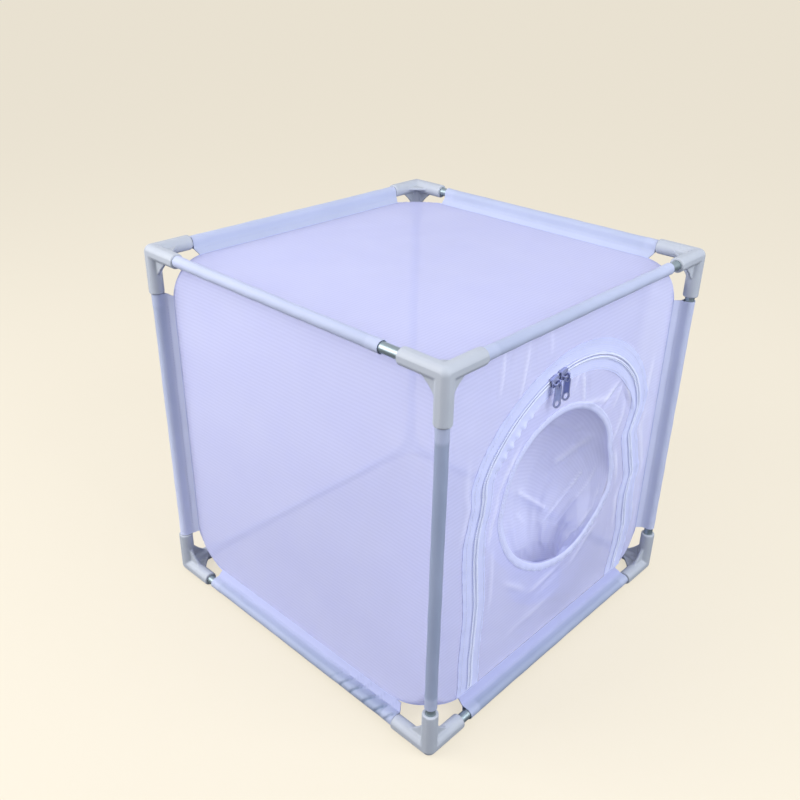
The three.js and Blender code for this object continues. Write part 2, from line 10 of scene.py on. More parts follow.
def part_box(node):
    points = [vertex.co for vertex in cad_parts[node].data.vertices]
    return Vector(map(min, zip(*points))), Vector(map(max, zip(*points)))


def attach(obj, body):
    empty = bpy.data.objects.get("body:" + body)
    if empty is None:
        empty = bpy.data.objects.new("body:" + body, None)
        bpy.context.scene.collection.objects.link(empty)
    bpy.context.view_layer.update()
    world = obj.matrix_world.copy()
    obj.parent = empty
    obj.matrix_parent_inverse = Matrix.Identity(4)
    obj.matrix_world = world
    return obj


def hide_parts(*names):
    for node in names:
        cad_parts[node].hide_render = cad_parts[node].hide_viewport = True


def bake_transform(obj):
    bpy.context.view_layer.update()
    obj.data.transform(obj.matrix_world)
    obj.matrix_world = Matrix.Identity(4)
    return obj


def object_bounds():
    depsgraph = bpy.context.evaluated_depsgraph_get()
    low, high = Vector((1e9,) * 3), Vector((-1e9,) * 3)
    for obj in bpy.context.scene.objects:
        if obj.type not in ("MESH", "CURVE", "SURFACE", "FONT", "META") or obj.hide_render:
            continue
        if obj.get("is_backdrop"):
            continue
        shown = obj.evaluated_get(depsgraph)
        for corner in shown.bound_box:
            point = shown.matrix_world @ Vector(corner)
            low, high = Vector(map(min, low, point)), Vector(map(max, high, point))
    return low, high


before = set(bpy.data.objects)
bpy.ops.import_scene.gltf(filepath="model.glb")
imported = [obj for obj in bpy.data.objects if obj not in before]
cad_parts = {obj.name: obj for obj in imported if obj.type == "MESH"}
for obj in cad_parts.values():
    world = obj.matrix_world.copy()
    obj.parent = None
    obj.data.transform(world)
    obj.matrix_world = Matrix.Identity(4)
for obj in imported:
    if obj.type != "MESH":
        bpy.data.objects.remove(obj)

cadBox = [list(corner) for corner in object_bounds()]
mm = 0.001
middle = np.array([0.0, 0.0, 0.2076])  # centre of the cage; the pieces are worked out from it in millimetres
crossing = 200  # from the centre to where the tubes' axes cross, all three ways
scene = bpy.context.scene


# Small helpers for colours and nodes

def linear(code):
    values = [int(code[i:i + 2], 16) / 255 for i in (0, 2, 4)]
    return [v / 12.92 if v <= 0.04045 else ((v + 0.055) / 1.055) ** 2.4 for v in values] + [1.0]


# Sockets go by name, with _ for a space, or by number, as _6; each takes a link, a colour's code or a value
def fill(tree, node, **inputs):
    for name, value in inputs.items():
        key = name.replace("_", " ")
        socket = node.inputs[int(key[1:])] if key[1:].isdigit() else node.inputs[key]
        if isinstance(value, bpy.types.NodeSocket):
            tree.links.new(value, socket)
        else:
            socket.default_value = linear(value) if isinstance(value, str) else value


def addNode(tree, kind, settings=None, **inputs):
    node = tree.nodes.new(kind)
    for name, value in (settings or {}).items():
        setattr(node, name, value)
    fill(tree, node, **inputs)
    return node


def maths(tree, operation, *values):
    inputs = {f"_{k}": value for k, value in enumerate(values)}
    return addNode(tree, "ShaderNodeMath", {"operation": operation}, **inputs).outputs[0]


def mixTones(tree, share, low, high):
    return addNode(tree, "ShaderNodeMix", {"data_type": "RGBA"}, Factor=share, _6=low, _7=high).outputs[2]


def cloudy(tree, where, scale, detail):
    return addNode(tree, "ShaderNodeTexNoise", Vector=where, Scale=scale, Detail=detail).outputs["Fac"]


def spread(tree, value, **limits):
    return addNode(tree, "ShaderNodeMapRange", Value=value, **limits).outputs[0]


def bumped(tree, strength, distance, height):
    return addNode(tree, "ShaderNodeBump", Strength=strength, Distance=distance, Height=height).outputs[0]


def shareAt(tree, label):
    return addNode(tree, "ShaderNodeAttribute", {"attribute_name": label}).outputs["Fac"]


def mixShaders(tree, share, first, second):
    both = addNode(tree, "ShaderNodeMixShader", _0=share, _1=first.outputs[0], _2=second.outputs[0])
    tree.links.new(both.outputs[0], tree.nodes["Material Output"].inputs["Surface"])


def newMaterial(name, coordinates="Object"):
    material = bpy.data.materials.new(name)
    material.use_nodes = True
    tree = material.node_tree
    where = addNode(tree, "ShaderNodeTexCoord").outputs[coordinates]
    return material, tree, tree.nodes["Principled BSDF"], where


# Small helpers for meshes and pieces

def addObject(name, data):
    piece = bpy.data.objects.new(name, data)
    scene.collection.objects.link(piece)
    return piece


def layCloth(mesh, uv):
    corner = np.empty(len(mesh.loops), int)
    mesh.loops.foreach_get("vertex_index", corner)
    layer = mesh.uv_layers.new(name="cloth")
    layer.data.foreach_set("uv", (np.asarray(uv)[corner] * mm).astype(np.float32).ravel())


def smoothUpTo(mesh, angle):
    mesh.shade_smooth()
    mesh.set_sharp_from_angle(angle=math.radians(angle))


# Puts a piece on its body, or bakes it in place when it goes from cage to door, and hides the node that it
# replaces
def settle(piece, node=None, body="cage"):
    if body == "cage to door":
        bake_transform(piece)
    else:
        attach(piece, body)
    if node:
        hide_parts(node)


def gridFaces(rows, columns, joined=False):
    i = np.arange(rows - 1)[:, None]
    j = np.arange(columns if joined else columns - 1)[None, :]
    k = (j + 1) % columns
    a, b = i * columns + j, i * columns + k
    return np.stack([a, b, b + columns, a + columns], -1).reshape(-1, 4)


def vertexNormals(points, faces):
    corners = points[faces]
    across = np.cross(corners[:, 1] - corners[:, 0], corners[:, -1] - corners[:, 0])
    normals = np.zeros_like(points)
    for k in range(faces.shape[1]):
        np.add.at(normals, faces[:, k], across)
    return normals / np.maximum(np.linalg.norm(normals, axis=1, keepdims=True), 1e-9)


def facingFront(points, faces):
    return faces if vertexNormals(points, faces)[:, 1].mean() < 0 else faces[:, ::-1]


# Makes a piece of cloth from a surface: its two faces and a rim along its open edges
def makeCloth(name, points, faces, uv, thickness, material, **marks):
    away = vertexNormals(points, faces) * thickness / 2
    count, sides = len(points), faces.shape[1]
    edges = np.concatenate([faces[:, [k, (k + 1) % sides]] for k in range(sides)])
    _, first, uses = np.unique(np.sort(edges, 1), axis=0, return_index=True, return_counts=True)
    rim = edges[first[uses == 1]]
    rimFaces = np.stack([rim[:, 1], rim[:, 0], rim[:, 0] + count, rim[:, 1] + count], 1)
    allFaces = faces.tolist() + (faces[:, ::-1] + count).tolist() + rimFaces.tolist()
    mesh = bpy.data.meshes.new(name)
    mesh.from_pydata((np.concatenate([points + away, points - away]) * mm + middle).tolist(), [], allFaces)
    mesh.update()
    smoothUpTo(mesh, 50)
    layCloth(mesh, np.tile(uv, (2, 1)))
    for label, share in marks.items():
        attribute = mesh.attributes.new(label, "FLOAT", "POINT")
        attribute.data.foreach_set("value", np.tile(share, 2).astype(np.float32))
    mesh.materials.append(material)
    return addObject(name, mesh)


def clothArea(points, faces):
    corners = points[faces]
    area = np.linalg.norm(np.cross(corners[:, 1] - corners[:, 0], corners[:, 2] - corners[:, 0]), axis=1)
    if corners.shape[1] == 4:
        area += np.linalg.norm(np.cross(corners[:, 2] - corners[:, 0], corners[:, 3] - corners[:, 0]), axis=1)
    return float(area.sum() / 2) * mm * mm


def smoothStep(value, low, high):
    t = np.clip((value - low) / (high - low), 0, 1)
    return t * t * (3 - 2 * t)


def waves(u, v, longest, shortest, count, seed):
    draw = np.random.default_rng(seed)
    total = np.zeros_like(u, float)
    for k in range(count):
        length = longest * (shortest / longest) ** (k / max(count - 1, 1))
        turn, phase = draw.uniform(0, 2 * math.pi, 2)
        wave = np.sin(2 * math.pi * (u * math.cos(turn) + v * math.sin(turn)) / length + phase)
        total += wave * (length / longest)
    return total / math.sqrt(count)


def roundTurn(steps):
    return np.linspace(0, 2 * math.pi, steps, endpoint=False)


def lengthAlong(line):
    return np.concatenate([[0], np.cumsum(np.linalg.norm(np.diff(line, axis=0), axis=1))])


def even(line, step):
    along = lengthAlong(line)
    count = max(int(round(along[-1] / step)), 1)
    marks = np.linspace(0, along[-1], count + 1)
    return np.stack([np.interp(marks, along, line[:, k]) for k in range(line.shape[1])], 1)


# Camera where the photograph was taken from, looking down on the near corner
cameraPlace = {
    "location": (-0.6579, -0.5860, 0.6987), "azimuth": -46.66, "elevation": 27.74, "roll": 0.98,
    "lens": 39.74, "sensor": 36, "farthest": 200,
}
turn, tilt, roll = (math.radians(cameraPlace[k]) for k in ("azimuth", "elevation", "roll"))
back = Vector((math.sin(turn) * math.cos(tilt), -math.cos(turn) * math.cos(tilt), math.sin(tilt)))
level = Vector((math.cos(turn), math.sin(turn), 0))
upright = back.cross(level)
rightward = level * math.cos(roll) + upright * math.sin(roll)
upward = upright * math.cos(roll) - level * math.sin(roll)
cameraData = bpy.data.cameras.new("camera")
cameraData.lens = cameraPlace["lens"]
cameraData.sensor_width = cameraPlace["sensor"]
cameraData.clip_end = cameraPlace["farthest"]
camera = addObject("camera", cameraData)
facing = Matrix((rightward, upward, back)).transposed().to_4x4()
camera.matrix_world = Matrix.Translation(cameraPlace["location"]) @ facing
scene.camera = camera
scene.view_settings.view_transform = "Standard"

# Floor, world and lamps: the camera sees one pale tone, and the cage is lit by greyer ones
stage = {
    "floorHalf": 60, "seen": "f1e9d7", "bounced": "383a40", "evenness": 0.78,
    "worldLight": 0.72, "worldTone": "f6f7ff",
}


def seenColour(tree, seen, other):
    isSeen = addNode(tree, "ShaderNodeLightPath").outputs["Is Camera Ray"]
    return mixTones(tree, isSeen, other, seen), isSeen


floorMaterial, tree, shader, _ = newMaterial("studio floor")
colour, isSeen = seenColour(tree, stage["seen"], stage["bounced"])
fill(tree, shader, Base_Color=colour, Roughness=1.0, Specular_IOR_Level=0.0)
pale = addNode(tree, "ShaderNodeEmission", Color=stage["seen"], Strength=1.0)
mixShaders(tree, maths(tree, "MULTIPLY", isSeen, stage["evenness"]), shader, pale)
half = stage["floorHalf"]
floorMesh = bpy.data.meshes.new("floor")
corners = [(-half, -half, 0), (half, -half, 0), (half, half, 0), (-half, half, 0)]
floorMesh.from_pydata(corners, [], [(0, 1, 2, 3)])
floorMesh.materials.append(floorMaterial)
addObject("floor", floorMesh)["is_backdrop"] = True

world = bpy.data.worlds.new("studio")
scene.world = world
world.use_nodes = True
tree = world.node_tree
colour, isSeen = seenColour(tree, stage["seen"], stage["worldTone"])
strength = spread(tree, isSeen, To_Min=stage["worldLight"], To_Max=1.0)
fill(tree, tree.nodes["Background"], Color=colour, Strength=strength)

lamps = {
    "key": {"at": (-1.25, 0.75, 1.05), "size": 1.2, "power": 26, "tone": "ffffff"},
    "fill": {"at": (0.2, -1.45, 1.1), "size": 1.2, "power": 24, "tone": "f4f9ff"},
    "side": {"at": (-1.5, -0.35, 0.3), "size": 1.0, "power": 4, "tone": "ffffff"},
}
for name, lamp in lamps.items():
    data = bpy.data.lights.new(name, "AREA")
    data.size, data.energy = lamp["size"], lamp["power"]
    data.color = linear(lamp["tone"])[:3]
    light = addObject(name, data)
    light.location = lamp["at"]
    light.rotation_mode = "QUATERNION"
    light.rotation_quaternion = (Vector(lamp["at"]) - Vector(middle)).to_track_quat("Z", "Y")
print("stage ready")


# Materials

# Polypropylene, injection moulded with a fine satin texture: slightly uneven milky white, soft highlights.
def mouldedPolypropylene():
    material, tree, shader, where = newMaterial("moulded polypropylene")
    cloud = cloudy(tree, where, 28.0, 2.0)
    grain = cloudy(tree, where, 1400.0, 1.0)  # grit of 0.7 mm
    fill(
        tree, shader, Base_Color=mixTones(tree, cloud, "a4aab4", "b3b8c0"), IOR=1.49,
        Roughness=spread(tree, cloud, To_Min=0.44, To_Max=0.58), Normal=bumped(tree, 0.08, 0.0003, grain),
        Subsurface_Weight=0.06, Subsurface_Radius=(0.003, 0.003, 0.004),
    )
    return material


# Aluminium tube, drawn and clear anodised: grey with a faint green cast, fine drawing lines along its length.
def drawnAluminium():
    material, tree, shader, where = newMaterial("drawn aluminium", "UV")
    stretched = addNode(tree, "ShaderNodeMapping", Vector=where, Scale=(2500.0, 18.0, 1.0)).outputs[0]
    lines = cloudy(tree, stretched, 1.0, 3.0)
    fill(
        tree, shader, Base_Color=mixTones(tree, lines, "87969b", "a6b4b8"), Metallic=0.7,
        Roughness=spread(tree, lines, To_Min=0.3, To_Max=0.48), Normal=bumped(tree, 0.1, 0.0001, lines),
    )
    return material


# Light that comes through thin cloth, mixed with what its face sends back
def throughCloth(tree, shader, share, tone, normal):
    glow = addNode(tree, "ShaderNodeBsdfTranslucent", Color=tone, Normal=normal)
    mixShaders(tree, share, shader, glow)


# Polyester mosquito net, warp knitted: see-through, with level rows of loops that catch the light.
# The real rows are 1 mm apart, too fine to show, so they are drawn 4.2 mm apart.
knit = {
    "rows": 0.0042, "loop": 0.0024, "slant": 0.06, "drift": 0.006, "rowTone": 0.17, "cloudTone": 0.75,
    "rowCover": 0.02, "layerCover": 0.45, "layeredAndLitTone": "f6f7ff",
}


def knittedNet(name, low, high, cover, glow=0.24):
    material, tree, shader, where = newMaterial(name, "UV")
    parts = addNode(tree, "ShaderNodeSeparateXYZ", Vector=where)
    zigzag = maths(tree, "PINGPONG", parts.outputs[0], knit["loop"])
    slanted = maths(tree, "MULTIPLY_ADD", zigzag, knit["slant"], parts.outputs[1])
    bent = maths(tree, "MULTIPLY_ADD", cloudy(tree, where, 9.0, 2.0), knit["drift"], slanted)
    wave = maths(tree, "SINE", maths(tree, "MULTIPLY", bent, 2 * math.pi / knit["rows"]))
    row = spread(tree, wave, From_Min=-1.0)
    cloud = maths(tree, "MULTIPLY", cloudy(tree, where, 14.0, 3.0), knit["cloudTone"])
    tint = mixTones(tree, maths(tree, "MULTIPLY_ADD", row, knit["rowTone"], cloud), low, high)
    # bunched net lies in several layers and is closer there; its whiter tone is partly painted highlight on
    # fold crests and painted light on shaded cloth
    bunched = shareAt(tree, "bunched")
    whiter = mixTones(tree, bunched, tint, knit["layeredAndLitTone"])
    thin = spread(tree, row, To_Min=cover - knit["rowCover"], To_Max=cover + knit["rowCover"])
    closer = maths(tree, "MULTIPLY_ADD", bunched, knit["layerCover"], thin)
    normal = bumped(tree, 0.06, 0.0004, row)
    fill(tree, shader, Base_Color=whiter, Roughness=0.7, Specular_IOR_Level=0.25, Alpha=closer, Normal=normal)
    throughCloth(tree, shader, glow, whiter, normal)
    return material


# Polyester plain weave: close, even, faintly shiny cloth. Threads of 0.3 mm are drawn 1.2 mm apart to show.
# Each veil is a tone that a named attribute brings in, such as the metal's grey through a single layer mixed
# with painted shade, or painted shade alone on the fins.
def wovenPolyester(name, low, high, spacing=0.0012, ribs=False, cover=1.0, **veils):
    material, tree, shader, where = newMaterial(name, "UV")
    parts = addNode(tree, "ShaderNodeSeparateXYZ", Vector=where)
    turns = [maths(tree, "MULTIPLY", parts.outputs[k], 2 * math.pi / spacing) for k in (0, 1)]
    warp, weft = (maths(tree, "SINE", turn) for turn in turns)
    woven = maths(tree, "MULTIPLY", warp, 1.0 if ribs else weft)
    thread = spread(tree, woven, From_Min=-1.0)
    cloud = cloudy(tree, where, 40.0, 3.0)
    uneven = maths(tree, "MULTIPLY_ADD", cloud, 0.6, maths(tree, "MULTIPLY", thread, 0.4))
    tone = mixTones(tree, uneven, low, high)
    for label, veil in veils.items():
        tone = mixTones(tree, shareAt(tree, label), tone, veil)
    normal = bumped(tree, 0.3, 0.0002, thread)
    fill(
        tree, shader, Base_Color=tone, Roughness=0.55, Specular_IOR_Level=0.4, Sheen_Weight=0.15,
        Alpha=cover, Normal=normal,
    )
    throughCloth(tree, shader, 0.2, tone, normal)
    return material


# Nylon monofilament, drawn and wound hot into a coil: milky with small bright highlights.
def nylonCoil():
    material, tree, shader, where = newMaterial("nylon monofilament")
    tint = mixTones(tree, cloudy(tree, where, 90.0, 1.0), "d3daf4", "e9edff")
    fill(tree, shader, Base_Color=tint, Roughness=0.22, IOR=1.53)
    return material


# Zinc alloy, die cast and nickel plated dark: slate grey, smooth, duller where handling has worn it.
def darkNickel(name, low, high, smoothness, metalShare):
    material, tree, shader, where = newMaterial(name)
    cloud = cloudy(tree, where, 260.0, 3.0)
    rough = spread(tree, cloud, To_Min=smoothness, To_Max=smoothness + 0.22)
    fill(tree, shader, Base_Color=mixTones(tree, cloud, low, high), Roughness=rough, Metallic=metalShare)
    return material


plastic = mouldedPolypropylene()
aluminium = drawnAluminium()
net = knittedNet("knitted polyester net", "e1e3ff", "ebedff", 0.37)
sleeveNet = knittedNet("limp polyester net", "e4e6ff", "f0f2ff", 0.42)
tapeCloth = wovenPolyester("woven zip tape", "d7ddff", "e5e9ff", spacing=0.0022, ribs=True, cover=0.9)
bindingCloth = knittedNet("folded net binding", "e7ebff", "f2f4ff", 0.62, glow=0.3)
elastic = wovenPolyester("ribbed elastic", "cdd4fa", "e0e5ff", spacing=0.002, ribs=True)
thread = wovenPolyester("polyester thread", "e2e6fa", "f2f4ff", spacing=0.0006, ribs=True)
nylon = nylonCoil()
nickel = darkNickel("dark nickel on zinc", "979dc6", "c0c5e4", 0.2, 0.55)
darkened = darkNickel("blackened nickel", "49528a", "636ba2", 0.42, 0.05)
dulled = darkNickel("dulled nickel", "7680b0", "99a2cc", 0.4, 0.2)
seamCloth = wovenPolyester("folded seam edge", "b2b9e0", "c3c9ea", spacing=0.0009)
# First veil: the tube's grey through the cloth together with painted shade; second veil: painted shade on the
# fins
poleCloth = wovenPolyester("woven polyester", "d7ddf6", "e1e6ff", tight="7f8fab", dull="9a9fd0")
print("materials ready")

# Bag: a cube of net with its corners cut to a sphere, in six sides
bag = {
    "half": 188, "cornerRadius": 45, "nearCorner": 57, "cloth": 0.7, "steps": 92, "inset": 0.2,
    "flat": (0.38, 0.38),  # each side as cut, in metres: 376 mm and a seam of 2 mm all round
    "sag": 1.6, "sagShares": (0.7, 0.5), "sagWaves": (420, 200, 3), "calmEdge": 60,
    "ripple": 0.35, "rippleWaves": (90, 30, 6), "seamEdge": 14,
}
# Of each side: the ways its cloth runs across and up, and the way it faces
sideAxes = {
    "left": ((0, -1, 0), (0, 0, 1), (-1, 0, 0)),
    "right": ((0, 1, 0), (0, 0, 1), (1, 0, 0)),
    "front": ((1, 0, 0), (0, 0, 1), (0, -1, 0)),
    "back": ((-1, 0, 0), (0, 0, 1), (0, 1, 0)),
    "bottom": ((1, 0, 0), (0, -1, 0), (0, 0, -1)),
    "top": ((1, 0, 0), (0, 1, 0), (0, 0, 1)),
}
edgeNames = [
    "top_front", "top_back", "bottom_front", "bottom_back", "top_left", "top_right",
    "bottom_left", "bottom_right", "front_left", "front_right", "back_left", "back_right",
]


def outwards(sides):
    return [np.array(sideAxes[side][2], float) for side in sides]


def onBag(points):
    # the near bottom corner is cut deeper
    radius = np.where((points < 0).all(1), bag["nearCorner"], bag["cornerRadius"])
    inner = (bag["half"] - radius)[:, None]
    away = np.abs(points) - inner
    length = np.linalg.norm(away, axis=1)
    limit = radius * math.sqrt(2)
    cut = (away > 0).all(1) & (length > limit)
    scale = np.where(cut, limit / np.maximum(length, 1e-9), 1)
    pulled = np.sign(points) * (inner + away * scale[:, None])
    return np.where(cut[:, None], pulled, points)


# Push of a side's cloth outwards (or inwards, below zero) at a place on it
def sideSag(a, b, seed):
    fromSides, fromEnds = bag["half"] - np.abs(a), bag["half"] - np.abs(b)
    calm = smoothStep(fromSides, 0, bag["calmEdge"]) * smoothStep(fromEnds, 0, bag["calmEdge"])
    evenShare, waveShare = bag["sagShares"]
    sag = -bag["sag"] * calm * (evenShare + waveShare * waves(a, b, *bag["sagWaves"], seed))
    edge = smoothStep(np.minimum(fromSides, fromEnds), 0, bag["seamEdge"])
    return sag + bag["ripple"] * edge * waves(a, b, *bag["rippleWaves"], seed + 1)


def makeSide(name, seed):
    u, v, w = (np.array(axis, float) for axis in sideAxes[name])
    line = np.linspace(-bag["half"], bag["half"], bag["steps"] + 1)
    a, b = (grid.ravel() for grid in np.meshgrid(line, line))
    flat = a[:, None] * u + b[:, None] * v + bag["half"] * w
    placed = onBag(flat) - bag["inset"] * w + sideSag(a, b, seed)[:, None] * w
    faces = gridFaces(len(line), len(line))
    piece = makeCloth(f"net_{name}", placed, faces, np.stack([a, b], 1), bag["cloth"], net)
    settle(piece, f"mesh_panel_{name}")


for number, name in enumerate(("left", "right", "back", "bottom", "top")):
    makeSide(name, 20 + 10 * number)
print("five sides ready")

# Line of the zip, from the left foot over the top to the right foot, with the way outwards at each point
zipLine = {
    "doorX": 6, "halfWidth": 135, "arcRadius": 155, "arcZ": -18, "shoulderRadius": 60,
    "footZ": -185.8, "step": 2,
}


def zipCourse():
    x0, z0, arc, bend = (zipLine[k] for k in ("doorX", "arcZ", "arcRadius", "shoulderRadius"))
    aside = zipLine["halfWidth"] - bend
    rise = math.sqrt((arc - bend) ** 2 - aside ** 2)
    lean = math.atan2(aside, rise)
    foot, shoulder, step = zipLine["footZ"], z0 + rise, zipLine["step"]
    course = [(x0 - zipLine["halfWidth"], z, -1, 0) for z in np.arange(foot, shoulder, step)]
    for start, stop, cx, cz, radius in (
        (-math.pi / 2, -lean, x0 - aside, shoulder, bend),
        (-lean, lean, x0, z0, arc),
        (lean, math.pi / 2, x0 + aside, shoulder, bend),
    ):
        count = max(int(abs(stop - start) * radius / step), 2)
        for angle in np.linspace(start, stop, count, endpoint=False):
            outX, outZ = math.sin(angle), math.cos(angle)
            course.append((cx + radius * outX, cz + radius * outZ, outX, outZ))
    course += [(x0 + zipLine["halfWidth"], z, 1, 0) for z in np.arange(shoulder, foot, -step)]
    course.append((x0 + zipLine["halfWidth"], foot, 1, 0))
    return np.array(course)


course = zipCourse()
walked = lengthAlong(course[:, :2])


def besideZip(offset, kept=slice(None)):
    line = course[kept, :2] + course[kept, 2:] * offset
    return line[:, 0], line[:, 1]


# Puckers and folds of the front: middle x and z, turn from level, half length, half width, height outwards
frontFolds = [
    # above the left shoulder of the zip
    (-110, 166, 86, 22, 2.6, 1.6), (-99, 168, 84, 16, 2.4, -1.2), (-78, 155, 80, 24, 2.8, 1.7),
    (-66, 160, 84, 16, 2.4, -1.0), (-40, 172, 96, 12, 3, 0.8),
    # the bunched cloth between the top of the zip and the hole
    (24, 105, 100, 20, 2.6, 2.2), (33, 100, 96, 20, 2.4, -1.8), (78, 78, 27, 16, 2.6, 2.6),
    (87, 72, 29, 18, 2.6, -2.2), (96, 68, 62, 14, 2.4, 1.6), (120, 62, 118, 26, 3.4, 2.6),
    (112, 66, 118, 24, 3.0, -2.2), (52, 79, -12, 22, 3.0, 1.6), (10, 116, 70, 12, 3, 1.2),
    # along the right leg
    (108, 34, 78, 22, 3.4, 1.8), (112, -24, 88, 22, 3.4, 2.0), (104, -44, 84, 20, 3.2, -1.6),
    (120, -86, 88, 26, 3.2, 1.8), (110, -118, 82, 24, 3.4, -1.5), (160, 60, 84, 30, 4.5, 1.3),
    (166, -20, 90, 44, 4.5, 1.2), (158, -100, 88, 34, 4.5, 1.3),
    # along the left leg and below the hole
    (-90, 58, 54, 26, 3.2, 1.9), (-99, 44, 62, 24, 3.2, -1.5), (-106, 12, 84, 28, 3.4, 1.5),
    (-104, -60, 88, 34, 3.6, 1.2), (-150, 50, 88, 40, 5, 1.0), (-10, -112, 8, 22, 3.6, 1.6),
    (4, -120, 14, 26, 3.6, -1.2), (-62, -92, -38, 24, 4, 1.2), (62, -104, 32, 28, 4, 1.3),
    (-30, -148, 6, 40, 5, 0.9),
]
# Sideways wander of the legs of the zip, by height
rightWander = [
    (-186, 0), (-168, 3), (-149, 7), (-134, 8), (-123, 10), (-110, 8), (-98, 5), (-86, 4), (-74, 3),
    (-62, 5), (-54, 9), (-44, 8), (-34, 4), (-21, 0), (-8, -4), (3, -8), (10, -9), (18, -5), (30, -1),
    (40, 2), (50, 1), (60, 0),
]
leftWander = [
    (-186, 1), (-140, -1), (-110, 1), (-80, 2.5), (-50, 0), (-20, -3), (5, -3.5), (28, 2), (45, 4), (60, 0),
]
front = {
    "doorway": 12, "spacing": 2.9, "edgeStep": 4, "crowding": 0.62, "depth": 187.6, "least": 0.0434,
    "swell": 0.8, "swellWaves": (260, 120, 3, 5), "crumple": 0.35, "crumpleWaves": (60, 24, 5, 6),
    "rightLeg": (60, 130), "leftLeg": (70, 120), "beyondLegs": (165, 186), "seamEdge": 16,
    "foot": (-186, -168),
    "trackTop": (0.57, 0.64), "besideTrack": (8, 24),  # the sliders' track, where the cloth stays calm
    "bunchHeight": 3.2, "bunchWidth": 0.7,
    "rightShare": 0.22, "rightFrom": (116, 140), "rightTo": (176, 188), "rightUp": (-170, -120),
}


def alongAndAcross(x, z, lean):
    c, s = math.cos(math.radians(lean)), math.sin(math.radians(lean))
    return x * c + z * s, z * c - x * s


# How far the cloth of the front lies aside and outwards at a place on it
def frontShift(x, z):
    out = front["swell"] * waves(x, z, *front["swellWaves"])
    out = out + front["crumple"] * waves(x, z, *front["crumpleWaves"])
    for cx, cz, lean, halfLong, halfWide, height in frontFolds:
        along, across = alongAndAcross(x - cx, z - cz, lean)
        out = out + height * np.exp(-(along / halfLong) ** 2 - (across / halfWide) ** 2)
    right, left = (
        np.interp(z, *np.array(wander).T) * smoothStep(way * x, *front[leg])
        * (1 - smoothStep(way * x, *front["beyondLegs"]))
        for wander, way, leg in ((rightWander, 1, "rightLeg"), (leftWander, -1, "leftLeg"))
    )
    dx, dz = x - zipLine["doorX"], z - zipLine["arcZ"]
    fromTrack = np.abs(np.hypot(dx, dz) - zipLine["arcRadius"])
    onArc = smoothStep(dz / np.maximum(np.hypot(dx, dz), 1e-6), *front["trackTop"])
    calm = 1 - onArc * (1 - smoothStep(fromTrack, *front["besideTrack"]))
    edge = smoothStep(bag["half"] - np.maximum(np.abs(x), np.abs(z)), 0, front["seamEdge"])
    foot = smoothStep(z, *front["foot"])
    return (right + left) * calm * edge * foot, out * calm * edge * foot


# Share of bunched cloth at a place on the front, drawn closer and whiter: 1 along the crest of a sharp fold,
# where the whiter tone is partly painted highlight
def bunchedAt(x, z):
    share = np.zeros_like(x, float)
    for cx, cz, lean, halfLong, halfWide, height in frontFolds:
        if height > 0:
            along, across = alongAndAcross(x - cx, z - cz, lean)
            crest = np.exp(-(along / halfLong) ** 4 - (across / (front["bunchWidth"] * halfWide)) ** 2)
            share += height / front["bunchHeight"] * crest
    # A broad field right of the zip's right leg is drawn whiter and closer too: painted light
    beyond = smoothStep(x, *front["rightFrom"]) * (1 - smoothStep(x, *front["rightTo"]))
    share += front["rightShare"] * beyond * smoothStep(z, *front["rightUp"])
    return np.clip(share, 0, 1)


def onFront(x, z, depth):
    aside, out = frontShift(x, z)
    return np.stack([x + aside, np.full_like(x, -depth, dtype=float) - out, z], 1)


def insidePolygon(points, polygon):
    x, z = points[:, 0], points[:, 1]
    inside = np.zeros(len(points), bool)
    for (x1, z1), (x2, z2) in zip(polygon, np.roll(polygon, -1, 0)):
        if z1 == z2:
            continue
        crosses = (z1 > z) != (z2 > z)
        inside ^= crosses & (x < (x2 - x1) * (z - z1) / (z2 - z1) + x1)
    return inside


# Cuts a flat piece of cloth into triangles: its outline, its holes and evenly spaced points between them
def cutCloth(outline, holes):
    spacing = front["spacing"]
    rings = [outline, *holes]

    def onCloth(places):
        keep = insidePolygon(places, outline)
        for hole in holes:
            keep &= ~insidePolygon(places, hole)
        return keep

    low, high = outline.min(0), outline.max(0)
    lattice = []
    for i, z in enumerate(np.arange(low[1], high[1], spacing * math.sqrt(3) / 2)):
        lattice += [(x, z) for x in np.arange(low[0] + (i % 2) * spacing / 2, high[0], spacing)]
    lattice = np.array(lattice)
    lattice = lattice[onCloth(lattice)]
    near = np.full(len(lattice), np.inf)
    for spot in np.concatenate(rings):
        near = np.minimum(near, np.linalg.norm(lattice - spot, axis=1))
    lattice = lattice[near > spacing * front["crowding"]]
    points, edges = [], []
    for ring in rings:
        first = len(points)
        points += [Vector(p) for p in ring]
        edges += [(first + k, first + (k + 1) % len(ring)) for k in range(len(ring))]
    points += [Vector(p) for p in lattice]
    flat, _, faces, *_ = delaunay_2d_cdt(points, edges, [], 0, 1e-5)
    flat = np.array([tuple(p) for p in flat])
    faces = np.array([f for f in faces if len(f) == 3])
    return flat, faces[onCloth(flat[faces].mean(1))]


def frontNet(name, flat, faces, shaped):
    return makeCloth(name, shaped, faces, flat, bag["cloth"], net, bunched=bunchedAt(flat[:, 0], flat[:, 1]))


